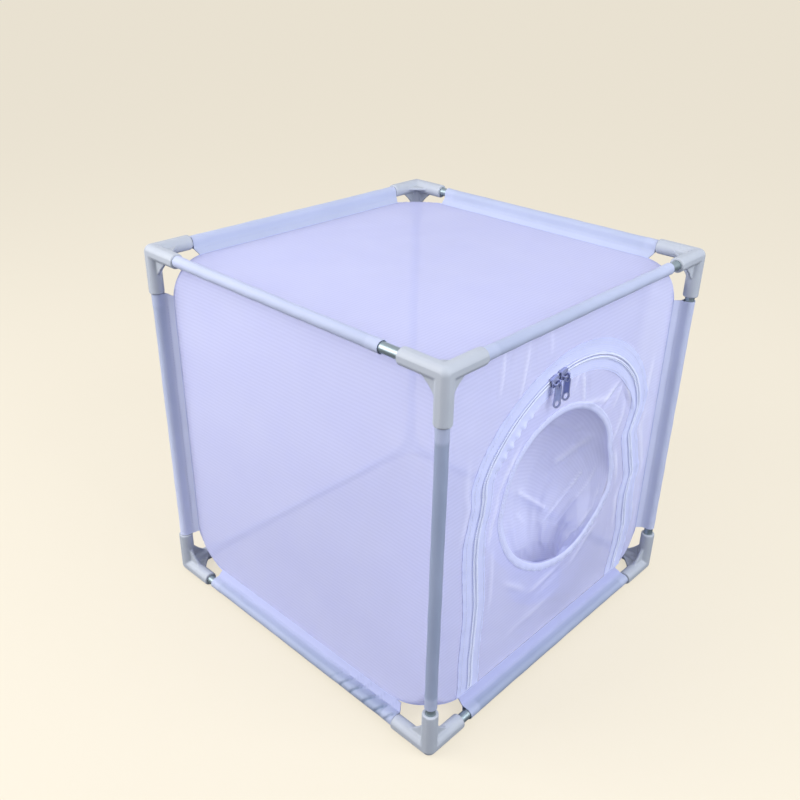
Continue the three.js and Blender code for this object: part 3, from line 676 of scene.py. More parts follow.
# Front side round the doorway
half = bag["half"]
arch = np.stack(besideZip(front["doorway"]), 1)
left, right = arch[0, 0], arch[-1, 0]
arch = np.concatenate([[[left, -half]], arch, [[right, -half]]])
square = [(left, -half), (-half, -half), (-half, half), (half, half), (half, -half), (right, -half)]
step = front["edgeStep"]
outline = np.concatenate([even(np.array(square, float), step)[:-1], even(arch[::-1], step)[:-1]])
flat, faces = cutCloth(outline, [])
shaped = onBag(np.stack([flat[:, 0], np.full(len(flat), -half, float), flat[:, 1]], 1))
aside, out = frontShift(flat[:, 0], flat[:, 1])
shaped[:, 0] += aside
shaped[:, 1] += (half - front["depth"]) - out
frontArea = max(round(clothArea(shaped, faces), 3), front["least"])
piece = frontNet("net_front", flat, faces, shaped)
settle(piece, "mesh_panel_front")
around = ["pole_sleeve_top_front", "pole_sleeve_front_left", "pole_sleeve_front_right"]
print("front side ready")

# Door of net, with its oval hole
hole = {"x": 5, "z": -4, "halfLong": 103, "halfShort": 85, "lean": -39, "steps": 150}


def holeRing(grow, steps):
    angle = roundTurn(steps)
    c, s = math.cos(math.radians(hole["lean"])), math.sin(math.radians(hole["lean"]))
    a, b = (hole["halfLong"] + grow) * np.cos(angle), (hole["halfShort"] + grow) * np.sin(angle)
    return np.stack([hole["x"] + a * c - b * s, hole["z"] + a * s + b * c], 1)


doorEdge = np.stack(besideZip(-front["doorway"]), 1)
doorOutline = np.concatenate([even(doorEdge, step), even(doorEdge[[-1, 0]], step)[1:-1]])
flat, faces = cutCloth(doorOutline, [holeRing(0, hole["steps"])])
shaped = onFront(flat[:, 0], flat[:, 1], front["depth"])
doorArea = round(clothArea(shaped, faces), 4)
piece = frontNet("door_net", flat, facingFront(shaped, faces), shaped)
settle(piece, "door_mesh", "cage to door")
print("door ready")

# Zip tapes, each a strip along the zip's line, with a rippled free edge
tape = {
    "near": 0.35, "outerFar": 18, "innerFar": 15, "cloth": 0.4, "depth": 188.25, "across": 10,
    "ripple": 0.22, "longWave": 17, "shortWave": 7.3, "shortShare": 0.6, "drift": 41, "calmEnd": 20,
    "pucker": 1.3, "puckerWave": 12.5, "puckerX": -92, "puckerHalf": 32, "puckerUp": (60, 85),
    "deepest": -0.1,
}


def tapeLift(offset, seed):
    share = abs(offset) / tape["innerFar"]
    drift = np.sin(walked / tape["drift"] + seed)
    long = np.sin(walked * 2 * math.pi / tape["longWave"] + 2 * drift)
    short = np.sin(walked * 2 * math.pi / tape["shortWave"] + seed)
    lift = tape["ripple"] * share ** 2 * (long + tape["shortShare"] * short)
    lift *= smoothStep(np.minimum(walked, walked[-1] - walked), 0, tape["calmEnd"])
    if offset < 0:  # the inner tape's edge is puckered at its left shoulder
        shoulder = np.exp(-((course[:, 0] - tape["puckerX"]) / tape["puckerHalf"]) ** 2)
        shoulder *= smoothStep(course[:, 1], *tape["puckerUp"])
        pucker = 1 + np.sin(walked * 2 * math.pi / tape["puckerWave"])
        lift += tape["pucker"] * share ** 3 * shoulder * pucker
    return np.maximum(lift, tape["deepest"])


for name, near, far, body, seed in (
    ("outer", tape["near"], tape["outerFar"], "cage", 1),
    ("inner", -tape["innerFar"], -tape["near"], "cage to door", 2),
):
    offsets = np.linspace(near, far, tape["across"])
    rows = []
    for offset in offsets:
        row = onFront(*besideZip(offset), tape["depth"])
        row[:, 1] -= tapeLift(offset, seed)
        rows.append(row)
    points = np.stack(rows, 1).reshape(-1, 3)
    faces = facingFront(points, gridFaces(len(course), tape["across"]))
    area = clothArea(points, faces)
    uv = np.stack([np.tile(offsets, len(course)), np.repeat(walked, tape["across"])], 1)
    piece = makeCloth(f"tape_{name}", points, faces, uv, tape["cloth"], tapeCloth)
    settle(piece, f"zip_tape_{name}", body)
    width = abs(far - near) * mm
print("tapes ready")

# Binding round the arm hole: a folded strip of cloth over the cut edge, puckered more at its lower side
binding = {
    "flat": (0.0104, 0.593), "width": 6.6, "cloth": 0.5, "depth": 188.35, "steps": 320, "around": 600,
    "puckers": 46, "drifts": 5, "leastPucker": 0.25, "lowDown": (20, 85), "deepest": -0.1,
    # across the strip, from its outer edge into the hole: growth of the hole's ring, height outwards
    "profile": [(6.6, 0.0), (5.8, 0.3), (3.8, 0.5), (1.6, 0.45), (-0.4, 0.15), (-1.2, -0.6), (-1.0, -1.2)],
}
angle = roundTurn(binding["steps"])
rows = []
for grow, lift in binding["profile"]:
    ring = holeRing(grow, binding["steps"])
    row = onFront(ring[:, 0], ring[:, 1], binding["depth"])
    least = binding["leastPucker"]
    pucker = least + (1 - least) * smoothStep(-ring[:, 1], *binding["lowDown"])
    pucker *= np.sin(angle * binding["puckers"] + 2 * np.sin(angle * binding["drifts"]))
    pucker *= np.clip(grow / binding["width"], 0, 1)
    row[:, 1] -= lift + np.maximum(pucker, binding["deepest"])
    rows.append(row)
points = np.concatenate(rows)
faces = facingFront(points, gridFaces(len(rows), binding["steps"], joined=True))
around = np.tile(np.linspace(0, binding["around"], binding["steps"]), len(rows))
uv = np.stack([around, np.repeat([grow for grow, _ in binding["profile"]], binding["steps"])], 1)
piece = makeCloth("hole_binding", points, faces, uv, binding["cloth"], bindingCloth)
settle(piece, "arm_hole_binding", "door")
print("binding ready")

# Arm sleeve: limp net that sags back from the hole and hangs behind the door
sleeve = {
    "cloth": 0.6, "drop": 60, "away": 6, "sway": 14, "folds": 7, "foldDepth": 4, "twist": 70,
    "smallFolds": ((0.5, 19, 9), (0.25, 31, -14)),  # of each kind: height, count, slant
    "around": 200, "along": 120, "inset": 0.4, "rootGrow": 1.3, "rootDepth": 186.9,
    "flat": (0.59, 0.3), "flatRound": 600, "flatStep": 38, "ease": 1.05,
    "slackFrom": (0.15, 0.9), "slackTo": (3.2, 4.6), "frontLimit": 187.2,
    "rightPaintedLight": 0.4, "rightSide": (5, 65),  # the right-hand wall lies in shade and is drawn whiter and closer there: painted light
}
sleeveShares = np.array([
    # turn, lean, drop, away, wide, deep, fold
    (0, 1, 0, 0, 1, 1, 0),
    (18, 0.85, 0.03, 0.1, 0.93, 0.86, 0.4),
    (36, 0.6, 0.08, 0.3, 0.79, 0.7, 1),
    (54, 0.35, 0.15, 0.5, 0.64, 0.53, 1),
    (72, 0.15, 0.24, 0.75, 0.5, 0.38, 1),
    (90, 0, 0.34, 0.9, 0.4, 0.29, 0.8),
    (90, 0, 0.68, 1, 0.33, 0.24, 0),
    (90, 0, 1, 1, 0.33, 0.24, 0),
])
# Creases across the sagging cloth as the photograph shows them, marked in the plane of the hole along the
# sight line from the camera: line, half width, height towards the front
sleeveCreases = [
    (((-48, -43), (-6, -21), (38, 1)), 2.4, 2.4), (((-44, -50), (0, -28), (44, -6)), 3.0, -1.8),
    (((-12, 37), (34, 40), (86, 38)), 6.0, 2.6), (((-20, 24), (30, 27), (80, 24)), 5.0, -2.0),
    (((83, 29), (89, -1), (89, -30), (78, -39), (72, -60), (43, -74), (12, -80)), 3.0, 3.2),
    (((81, -34), (76, -44)), 4.0, 3.0), (((-70, 26), (-25, -13)), 2.6, 2.2),
    (((-61, -31), (-20, -60), (10, -94)), 3.2, 2.4), (((-30, -38), (10, -66), (50, -84)), 3.0, -2.2),
    (((-70, 0), (-52, -22)), 3.0, 1.8), (((0, -46), (56, -20), (78, 6)), 2.6, 1.8),
    (((-24, 84), (18, 60), (62, 66)), 5.0, 1.5),
]


def sleeveRing(shares, inset):
    turn, lean, drop, away, wide, deep, fold = shares
    holeLean = math.radians(hole["lean"])
    rootLong, rootShort = hole["halfLong"] + sleeve["rootGrow"], hole["halfShort"] + sleeve["rootGrow"]
    dropFull = math.hypot(rootLong * math.sin(holeLean), rootShort * math.cos(holeLean))
    angle = roundTurn(sleeve["around"])
    twisted = sleeve["folds"] * (angle + math.radians(sleeve["twist"]) * drop)
    folds = sleeve["foldDepth"] * fold * (1 + np.cos(twisted)) / 2
    small = 0
    for height, count, slant in sleeve["smallFolds"]:
        small = small + height * fold * (1 + np.sin(count * angle + slant * drop))
    w, d = rootLong * wide, rootShort * deep
    lean *= holeLean
    a, b = (w - folds - small - inset) * np.cos(angle), (d - folds - small - inset) * np.sin(angle)
    up = math.hypot(w * math.sin(lean), d * math.cos(lean)) + a * math.sin(lean) + b * math.cos(lean)
    tilt = math.radians(turn)
    return np.stack([
        hole["x"] + sleeve["sway"] * away + a * math.cos(lean) - b * math.sin(lean),
        -sleeve["rootDepth"] + sleeve["away"] * away + up * math.sin(tilt),
        hole["z"] - dropFull - sleeve["drop"] * drop + up * math.cos(tilt),
    ], 1)


def fromLine(x, z, line):
    nearest = np.full_like(x, np.inf)
    for (x1, z1), (x2, z2) in zip(line, line[1:]):
        dx, dz = x2 - x1, z2 - z1
        t = np.clip(((x - x1) * dx + (z - z1) * dz) / (dx ** 2 + dz ** 2), 0, 1)
        nearest = np.minimum(nearest, np.hypot(x - x1 - t * dx, z - z1 - t * dz))
    return nearest


marks = np.linspace(0, len(sleeveShares) - 1, sleeve["along"])
stations = range(len(sleeveShares))
shares = np.stack([np.interp(marks, stations, column) for column in sleeveShares.T], 1)
points = np.concatenate([sleeveRing(row, sleeve["inset"]) for row in shares])
slack = smoothStep(marks, *sleeve["slackFrom"]) * (1 - smoothStep(marks, *sleeve["slackTo"]))
slack = np.repeat(slack, sleeve["around"])
eye = (np.array(cameraPlace["location"]) - middle) / mm
sight = eye + (points - eye) * ((-bag["half"] - eye[1]) / (points[:, 1] - eye[1]))[:, None]
# Painted light: the sleeve's right-hand wall, placed as the camera sees it through the hole, is drawn whiter
# and closer
bunched = sleeve["rightPaintedLight"] * smoothStep(sight[:, 0], *sleeve["rightSide"])
for line, width, height in sleeveCreases:
    crest = slack * np.exp(-(fromLine(sight[:, 0], sight[:, 2], line) / width) ** 2)
    foremost = np.minimum(points[:, 1], -sleeve["frontLimit"])
    points[:, 1] = np.maximum(points[:, 1] - height * crest, foremost)
    # The raised crests are drawn whiter too: painted highlight
    bunched += max(height, 0) / 4 * crest ** 2
faces = gridFaces(sleeve["along"], sleeve["around"], joined=True)
sleeveArea = clothArea(points, faces)
around = np.tile(np.linspace(0, sleeve["flatRound"], sleeve["around"]), sleeve["along"])
uv = np.stack([around, np.repeat(marks * sleeve["flatStep"], sleeve["around"])], 1)
bunched = np.clip(bunched, 0, 1)
armSleeve = makeCloth("arm_sleeve_net", points, faces, uv, sleeve["cloth"], sleeveNet, bunched=bunched)
settle(armSleeve, "arm_sleeve", "door")
print("arm sleeve ready")

# Elastic cuff: a gathered band round the end of the sleeve
cuff = {
    "height": 14, "rise": 2, "grow": 0.3, "cloth": 1.6, "waist": 0.02, "along": 10,
    "ribs": 40, "ribShare": 0.5 / 30, "ribSway": 0.5, "ribTurns": 9, "flat": (0.2, 0.014),
}
endRing = sleeveRing(sleeveShares[-1], -cuff["grow"] - cuff["cloth"] / 2)
centre = endRing.mean(0)
angle = roundTurn(sleeve["around"])
rows = []
for t in np.linspace(0, 1, cuff["along"]):
    sway = cuff["ribSway"] * math.sin(cuff["ribTurns"] * t)
    rib = 1 + cuff["ribShare"] * np.sin(cuff["ribs"] * angle + sway)
    rib -= cuff["waist"] * math.sin(math.pi * t)
    row = centre + (endRing - centre) * rib[:, None]
    row[:, 2] = centre[2] + cuff["rise"] + cuff["height"] * t
    rows.append(row)
points = np.concatenate(rows)
faces = gridFaces(cuff["along"], sleeve["around"], joined=True)
around = np.tile(np.linspace(0, cuff["flat"][0] / mm, sleeve["around"]), cuff["along"])
uv = np.stack([around, np.repeat(np.linspace(0, cuff["height"], cuff["along"]), sleeve["around"])], 1)
piece = makeCloth("sleeve_cuff", points, faces, uv, cuff["cloth"], elastic)
settle(piece, "arm_sleeve_cuff", "door")
# tapered, so it may hold less than its flat rectangle
print("cuff ready")

# Pole sleeves: cloth folded round a tube, stitched, and doubled into a fin that is sewn into the bag's edge
pole = {
    "pocket": 5.62, "cloth": 0.5, "seam": 8.8, "finReach": 17.6, "finGap": 0.62, "finEnd": 49,
    "along": 150, "around": 30, "hem": 14, "hemEdge": 1.2, "hemLift": 0.22, "flare": 0.1, "flareReach": 5,
    "pocketTo": 4, "pastSeam": 0.5, "looseLong": (0.1, 13, 37), "looseShort": (0.07, 5.1), "tightest": -0.12,
    "finSway": (0.25, 9), "finGather": 0.7,
    # How much grey each sleeve is drawn with: on the pocket at both ends, then on the fin at both ends. On
    # the pocket it is partly the tube's grey through the cloth and partly painted shade, set edge by edge and
    # end by end; on the fin, with no tube under it, it is painted shade.
    "finTone": (4, 12), "hemGrey": (0.23, 0.4), "uneven": (0.03, 19),
    "grey": {
        "front_left": (0.78, 0.8, 0.48, 0.48), "front_right": (0.2, 0.3, 0, 0),
        "back_left": (0, 0.6, 0, 0.05),
        "bottom_left": (0.8, 0.5, 0.3, 0.12), "bottom_front": (0.78, 0.62, 0, 0),
        "top_left": (0.53, 0.335, 0.45, 0.4), "top_front": (0.6, 0.38, 0.44, 0.44),
        "top_back": (0.42, 0.42, 0.42, 0.42), "top_right": (0.5, 0.5, 0.38, 0.38),
    },
    "greyElse": (0.6, 0.6, 0.4, 0.4),
    # Painted shade on the fins of the two bottom edges
    "dull": {"bottom_front": 0.72, "bottom_left": 0.55},
    # How far each sleeve's two ends lie from the tube's two crossings: pushed up to a connector or bare
    "ends": {
        "top_front": (45.5, 60), "top_back": (46, 45.5), "bottom_front": (57, 46), "bottom_back": (52, 57),
        "top_left": (67, 45.5), "top_right": (45.5, 55), "bottom_left": (45.5, 54), "bottom_right": (57, 50),
        "front_left": (53, 45.5), "front_right": (54, 50), "back_left": (45.6, 45.6), "back_right": (50, 57),
    },
}
# The gathered end beside the near bottom corner: creases slant over the sleeve from the tube to the bag
nearPuckers = {
    "first": 50, "pitch": 16.5, "height": 2.1, "lean": 0.8, "along": 320, "drift": 1.6, "driftWave": 9.3,
    "rise": (40, 50), "fall": (105, 150), "taut": (-5.5, 0), "sharp": 0.16, "slope": 0.8,
    "shade": 0.3, "shadeWidth": 0.14,
}


def edgeFrame(name):
    a, b = outwards(name.split("_"))
    inwards = -(a + b) / math.sqrt(2)
    along = np.cross(a, b)
    return inwards, np.cross(along, inwards), along, (a + b) * crossing


# Round the section: in along the fin's one layer, round the tube, and out along its other layer
def poleSection():
    gap, r, seam = pole["finGap"] / 2, pole["pocket"], pole["seam"]
    tangent = math.acos(r / seam)
    turns = np.linspace(tangent, 2 * math.pi - tangent, pole["around"])
    arc = [(r * math.cos(t), r * math.sin(t)) for t in turns]
    fin = [(x, gap) for x in np.linspace(pole["finReach"], seam, 4)]
    fin.append((seam * 0.5 + arc[0][0] * 0.5, gap * 0.5 + arc[0][1] * 0.5))
    return np.array(fin + arc + [(x, -y) for x, y in reversed(fin)])


section = poleSection()
sectionWalk = lengthAlong(section)


# Rounded ridges with sharp creases between them, and the shade in the creases; the outer side stays taut
def gathers(reach, puckers):
    reach = reach + puckers["drift"] * np.sin(reach / puckers["driftWave"])
    part = np.mod((reach - puckers["first"]) / puckers["pitch"], 1)
    here = smoothStep(reach, *puckers["rise"]) * (1 - smoothStep(reach, *puckers["fall"]))
    ridge = smoothStep(part, 0, puckers["sharp"]) * (1 - part) ** puckers["slope"] * puckers["height"] * here
    crease = here * puckers["shade"] * (1 - smoothStep(np.minimum(part, 1 - part), 0, puckers["shadeWidth"]))
    return ridge * smoothStep(section[:, 0], *puckers["taut"]), crease


def makePoleSleeve(name, seed, puckers=None):
    inwards, across, along, place = edgeFrame(name)
    way = int(along.sum())  # -1 where the tube's direction is against the order that its ends are listed in
    low, high = pole["ends"][name][::way]
    share = np.linspace(0, 1, (puckers["along"] if puckers else pole["along"]) + 1)[:, None]
    sx, sy = section.T
    onPocket = 1 - smoothStep(sx, pole["pocketTo"], pole["seam"] + pole["pastSeam"])
    onFin = smoothStep(sx, pole["seam"], pole["finReach"])
    angle = np.arctan2(sy, sx)
    starts = -crossing + low + onFin * max(pole["finEnd"] - low, 0)
    stops = crossing - high - onFin * max(pole["finEnd"] - high, 0)
    z = starts + (stops - starts) * share
    fromEnd = np.minimum(z - starts, stops - z)
    hem = pole["hemLift"] * (1 - smoothStep(fromEnd, pole["hem"], pole["hem"] + pole["hemEdge"]))
    flare = pole["flare"] * (1 - smoothStep(fromEnd, 0, pole["flareReach"]))
    height, long, drift = pole["looseLong"]
    loose = height * np.sin(z / long + 2 * np.sin(z / drift + seed) + angle)
    height, short = pole["looseShort"]
    loose = loose + height * np.sin(z / short + 3 * angle + seed)
    fold, crease = gathers(z * way + crossing + puckers["lean"] * sx, puckers) if puckers else (0, 0)
    grow = (hem + flare + np.maximum(loose, pole["tightest"]) + fold) * onPocket / np.hypot(sx, sy)
    freely = np.sin(math.pi * np.clip((sx - pole["seam"]) / (pole["finReach"] - pole["seam"]), 0, 1))
    x, y = sx * (1 + grow), sy * (1 + grow)
    sway, wave = pole["finSway"]
    swayed = sway * np.sin(z / wave + seed) * freely + pole["finGather"] * fold * (1 - onFin)
    y = y + (1 - onPocket) * swayed
    points = place + x[..., None] * inwards + y[..., None] * across + z[..., None] * along

    pocketLow, pocketHigh, finLow, finHigh = pole["grey"].get(name, pole["greyElse"])
    upper = z * way / (2 * crossing) + 0.5
    outward = smoothStep(sx, *pole["finTone"])
    onTube, beside = pocketLow + (pocketHigh - pocketLow) * upper, finLow + (finHigh - finLow) * upper
    grey = onTube * (1 - outward) + beside * outward
    least, kept = pole["hemGrey"]  # the doubled hem is drawn with less of the grey
    hemGrey = np.minimum(grey, least + kept * grey)
    single = smoothStep(fromEnd, pole["hem"] - 1, pole["hem"] + 1)
    sway, wave = pole["uneven"]
    # The crease share from gathers is painted shade in the creases, added to the grey
    tight = (hemGrey + (grey - hemGrey) * single) * (1 - sway + sway * np.sin(z / wave + seed)) + crease
    dull = np.broadcast_to(pole["dull"].get(name, 0) * outward, z.shape)
    marks = {"tight": np.clip(tight, 0, 1).ravel(), "dull": dull.ravel()}

    rows, columns = z.shape
    points = points.reshape(-1, 3)
    faces = gridFaces(rows, columns)
    sample = rows // 2 * columns + columns // 2
    if np.dot(vertexNormals(points, faces)[sample], points[sample] - place) < 0:
        faces = faces[:, ::-1]
    uv = np.stack([np.tile(sectionWalk, rows), fromEnd.ravel()], 1)
    piece = makeCloth(f"sleeve_{name}", points, faces, uv, pole["cloth"], poleCloth, **marks)
    settle(piece, f"pole_sleeve_{name}")


for number, name in enumerate(edgeNames):
    makePoleSleeve(name, 60 + number, nearPuckers if name == "bottom_left" else None)
print("pole sleeves ready")


# Geometry Nodes: a tree takes a line, its sizes and its material, and is run once for each piece
sockets = {"Sides": "NodeSocketInt", "Material": "NodeSocketMaterial"}


def shape(tree, kind, **inputs):
    return addNode(tree, f"GeometryNode{kind}", **inputs).outputs[0]


def groupTree(name, *labels):
    tree = bpy.data.node_groups.new(name, "GeometryNodeTree")
    for way in ("INPUT", "OUTPUT"):
        tree.interface.new_socket("Geometry", in_out=way, socket_type="NodeSocketGeometry")
    for label in (*labels, "Material"):
        tree.interface.new_socket(label, in_out="INPUT", socket_type=sockets.get(label, "NodeSocketFloat"))
    given = addNode(tree, "NodeGroupInput").outputs
    return tree, given, shape(tree, "MeshToCurve", Mesh=given["Geometry"])


def finishTree(tree, given, geometry):
    geometry = shape(tree, "RealizeInstances", Geometry=geometry)
    geometry = shape(tree, "SetShadeSmooth", Geometry=geometry)
    geometry = shape(tree, "SetMaterial", Geometry=geometry, Material=given["Material"])
    addNode(tree, "NodeGroupOutput", Geometry=geometry)
    return tree


def join(tree, *parts):
    joined = addNode(tree, "GeometryNodeJoinGeometry")
    for part in parts:
        tree.links.new(part, joined.inputs[0])
    return joined.outputs[0]


# Lays one thing on each point, with its Z along the way given
def laid(tree, points, thing, way, **inputs):
    turned = addNode(tree, "FunctionNodeAlignRotationToVector", {"axis": "Z"}, Vector=way).outputs[0]
    return shape(tree, "InstanceOnPoints", Points=points, Instance=thing, Rotation=turned, **inputs)


def swept(tree, line, radius, sides, capped=False):
    ring = shape(tree, "CurvePrimitiveCircle", Resolution=sides, Radius=radius)
    return shape(tree, "CurveToMesh", Curve=line, Profile_Curve=ring, Fill_Caps=capped)


# Lines are in millimetres from the middle of the cage, and so are the sizes
def runTree(name, lines, tree, material, closed=False, **values):
    points, edges = [], []
    for line in lines:
        first = len(points)
        points += [tuple(np.asarray(p) * mm + middle) for p in line]
        edges += [(k, k + 1) for k in range(first, len(points) - 1)]
        if closed:
            edges.append((len(points) - 1, first))
    source = bpy.data.meshes.new(name)
    source.from_pydata(points, edges, [])
    piece = addObject(name, source)
    modifier = piece.modifiers.new("nodes", "NODES")
    modifier.node_group = tree
    given = (item for item in tree.interface.items_tree if item.in_out == "INPUT")
    identifiers = {item.name: item.identifier for item in given}
    modifier[identifiers["Material"]] = material
    for label, value in values.items():
        modifier[identifiers[label]] = value if isinstance(value, int) else value * mm
    bpy.context.view_layer.update()
    evaluated = piece.evaluated_get(bpy.context.evaluated_depsgraph_get())
    mesh = bpy.data.meshes.new_from_object(evaluated)
    piece.modifiers.clear()
    piece.data = mesh
    mesh.name = name
    return piece


# Tubes: a ring swept along a line, hollow, and closed at both ends between its two walls
tubes = {"length": 371.4, "radius": 5.0, "wall": 0.8, "sides": 40}


def tubeTree():
    tree, given, line = groupTree("drawn tube", "Radius", "Wall", "Sides")
    inside = maths(tree, "SUBTRACT", given["Radius"], given["Wall"])
    outerWall = swept(tree, line, given["Radius"], given["Sides"])
    innerWall = swept(tree, line, inside, given["Sides"])
    return finishTree(tree, given, join(tree, outerWall, shape(tree, "FlipFaces", Mesh=innerWall)))


def closeEnds(mesh):
    build = bmesh.new()
    build.from_mesh(mesh)
    bmesh.ops.remove_doubles(build, verts=build.verts, dist=1e-6)
    spots = np.array([v.co for v in build.verts])
    axis = int(np.argmax(np.ptp(spots, axis=0)))
    centre = (spots[:, axis].min() + spots[:, axis].max()) / 2
    for side in (-1, 1):
        rims = [e for e in build.edges if e.is_boundary and (e.verts[0].co[axis] - centre) * side > 0]
        bmesh.ops.bridge_loops(build, edges=rims)
    bmesh.ops.recalc_face_normals(build, faces=build.faces)
    build.to_mesh(mesh)
    build.free()


tubeNodes = tubeTree()
for name in edgeNames:
    inwards, across, along, place = edgeFrame(name)
    ends = [place + side * tubes["length"] / 2 * along for side in (-1, 1)]
    sizes = {"Radius": tubes["radius"], "Wall": tubes["wall"], "Sides": tubes["sides"]}
    piece = runTree(f"pole_{name}", [ends], tubeNodes, aluminium, **sizes)
    closeEnds(piece.data)
    spots = (np.array([v.co for v in piece.data.vertices]) - middle) / mm - place
    around = np.arctan2(spots @ across, spots @ inwards) * tubes["radius"]
    layCloth(piece.data, np.stack([around, spots @ along], 1))
    smoothUpTo(piece.data, 40)
    settle(piece, f"tube_{name}")
print("tubes ready")

# Corner connectors: three legs at right angles with webs, moulded in one with soft inside corners
joint = {
    "legRadius": 8, "legReach": 45, "mouthRound": 0.7, "bore": 5.2, "boreBeyond": 3, "floor": 14,
    "web": 3.2, "webReach": 32, "webRoot": 3, "webDip": 13, "webSteps": 16, "foot": 0.4,
    "sides": 56, "voxel": 0.75, "smoothing": (0.5, 6),
}


def addRod(build, radius, start, stop, axis, taper=0.0):
    made = bmesh.ops.create_cone(
        build, cap_ends=True, segments=joint["sides"],
        radius1=radius, radius2=radius - taper, depth=stop - start,
    )
    shift = Matrix.Translation((0, 0, (start + stop) / 2))
    turns = (Matrix.Rotation(math.pi / 2, 4, "Y"), Matrix.Rotation(-math.pi / 2, 4, "X"), Matrix.Identity(4))
    bmesh.ops.transform(build, matrix=turns[axis] @ shift, verts=made["verts"])


# A web between two legs, whose free edge curves in a little towards the crossing
def addWeb(build, a, b, c):
    reach, dip, root = joint["webReach"], joint["webDip"], joint["webRoot"]
    outline = [(0, 0)]
    for k in range(joint["webSteps"] + 1):
        q = 0.5 - 0.5 * math.cos(math.pi * k / joint["webSteps"])
        bent = 2 * dip * q * (1 - q)
        p = (1 - q) ** 2
        outline.append((reach * p + bent + root * q * q, root * p + bent + reach * q * q))
    corners = []
    for side in (-joint["web"] / 2, joint["web"] / 2):
        for p, q in outline:
            at = [0, 0, 0]
            at[a], at[b], at[c] = p, q, side
            corners.append(build.verts.new(at))
    count = len(outline)
    build.faces.new(corners[:count])
    build.faces.new(corners[count:][::-1])
    for k in range(count):
        n = (k + 1) % count
        build.faces.new((corners[k], corners[k + count], corners[n + count], corners[n]))


def meshOf(build, name):
    mesh = bpy.data.meshes.new(name)
    build.to_mesh(mesh)
    build.free()
    return addObject(name, mesh)


def connectorMesh():
    mouth = joint["legReach"] - joint["mouthRound"]
    build = bmesh.new()
    for axis in range(3):
        addRod(build, joint["legRadius"], 0, mouth, axis)
        addRod(build, joint["legRadius"], mouth, joint["legReach"], axis, taper=joint["mouthRound"])
    bmesh.ops.create_icosphere(build, subdivisions=4, radius=joint["legRadius"])
    for axes in ((0, 1, 2), (1, 2, 0), (0, 2, 1)):
        addWeb(build, *axes)
    bmesh.ops.recalc_face_normals(build, faces=build.faces)
    worker = meshOf(build, "connector")
    remesh = worker.modifiers.new("remesh", "REMESH")
    remesh.mode, remesh.voxel_size = "VOXEL", joint["voxel"]
    smooth = worker.modifiers.new("smooth", "SMOOTH")
    smooth.factor, smooth.iterations = joint["smoothing"]
    build = bmesh.new()
    for axis in range(3):
        addRod(build, joint["bore"], joint["floor"], joint["legReach"] + joint["boreBeyond"], axis)
    bores = meshOf(build, "bores")
    cut = worker.modifiers.new("bores", "BOOLEAN")
    cut.operation, cut.object, cut.solver = "DIFFERENCE", bores, "EXACT"
    bpy.context.view_layer.update()
    made = bpy.data.meshes.new_from_object(worker.evaluated_get(bpy.context.evaluated_depsgraph_get()))
    bpy.data.objects.remove(worker)
    bpy.data.objects.remove(bores)
    # flats along the outer sides, which the cage rests on
    spots = np.maximum(np.array([v.co for v in made.vertices]), joint["foot"] - joint["legRadius"])
    made.vertices.foreach_set("co", spots.astype(np.float32).ravel())
    made.update()
    return made


pattern = connectorMesh()
for corner in itertools.product(("bottom", "top"), ("front", "back"), ("left", "right")):
    name = "_".join(corner)
    away = np.sum(outwards(corner), 0)
    mesh = pattern.copy()
    mesh.transform(Matrix.Translation(away * crossing * mm + middle) @ Matrix.Diagonal((*(-away * mm), 1)))
    if away.prod() > 0:  # mirrored
        mesh.flip_normals()
    mesh.materials.clear()
    mesh.materials.append(plastic)
    smoothUpTo(mesh, 38)
    settle(addObject(f"corner_{name}", mesh), f"connector_{name}")
print("connectors ready")

# Zip coils: one tooth on the coil's line for each turn of the nylon, on a round core
coil = {"pitch": 1.7, "wire": 0.42, "reach": 1.35, "line": 1.75, "depth": 189.35, "core": 0.62, "footZ": -182}


def teethTree():
    tree, given, line = groupTree("coil teeth", "Pitch", "Wire", "Reach", "Core")
    spots = addNode(tree, "GeometryNodeResampleCurve", {"mode": "LENGTH"}, Curve=line, Length=given["Pitch"])
    tangent = shape(tree, "InputTangent")
    crossed = {"operation": "CROSS_PRODUCT"}
    across = addNode(tree, "ShaderNodeVectorMath", crossed, _0=tangent, _1=(0.0, 1.0, 0.0)).outputs[0]
    length = maths(tree, "MULTIPLY", given["Reach"], 2.0)
    headSize = maths(tree, "MULTIPLY", given["Wire"], 1.5)
    bar = shape(tree, "MeshCylinder", Vertices=7, Radius=given["Wire"], Depth=length)
    head = shape(tree, "MeshIcoSphere", Radius=headSize, Subdivisions=1)
    headAt = addNode(tree, "ShaderNodeCombineXYZ", Z=given["Reach"]).outputs[0]
    tooth = join(tree, bar, shape(tree, "Transform", Geometry=head, Translation=headAt))
    placed = laid(tree, spots.outputs[0], tooth, across)
    return finishTree(tree, given, join(tree, placed, swept(tree, line, given["Core"], 8, capped=True)))


teeth = teethTree()
for name, side, body in (("outer", 1, "cage"), ("inner", -1, "cage to door")):
    path = onFront(*besideZip(side * coil["line"], course[:, 1] > coil["footZ"]), coil["depth"])[::side]
    sizes = {"Pitch": coil["pitch"], "Wire": coil["wire"], "Reach": coil["reach"], "Core": coil["core"]}
    piece = runTree(f"coil_{name}", [path], teeth, nylon, **sizes)
    settle(piece, f"zip_coil_{name}", body)
print("coils ready")

# Sliders, their rings and pull tabs: the part's own shapes with rounded edges, the tabs pressed hollow
metal = {
    "tabTurn": {"left": -19, "right": -20}, "tabNarrow": 0.88, "merge": 1e-6, "edge": 0.00022,
    "panelRim": 0.0009, "panelDepth": 0.00022, "flatWithin": 0.6, "sharpFrom": 38, "smoothTo": 35,
}


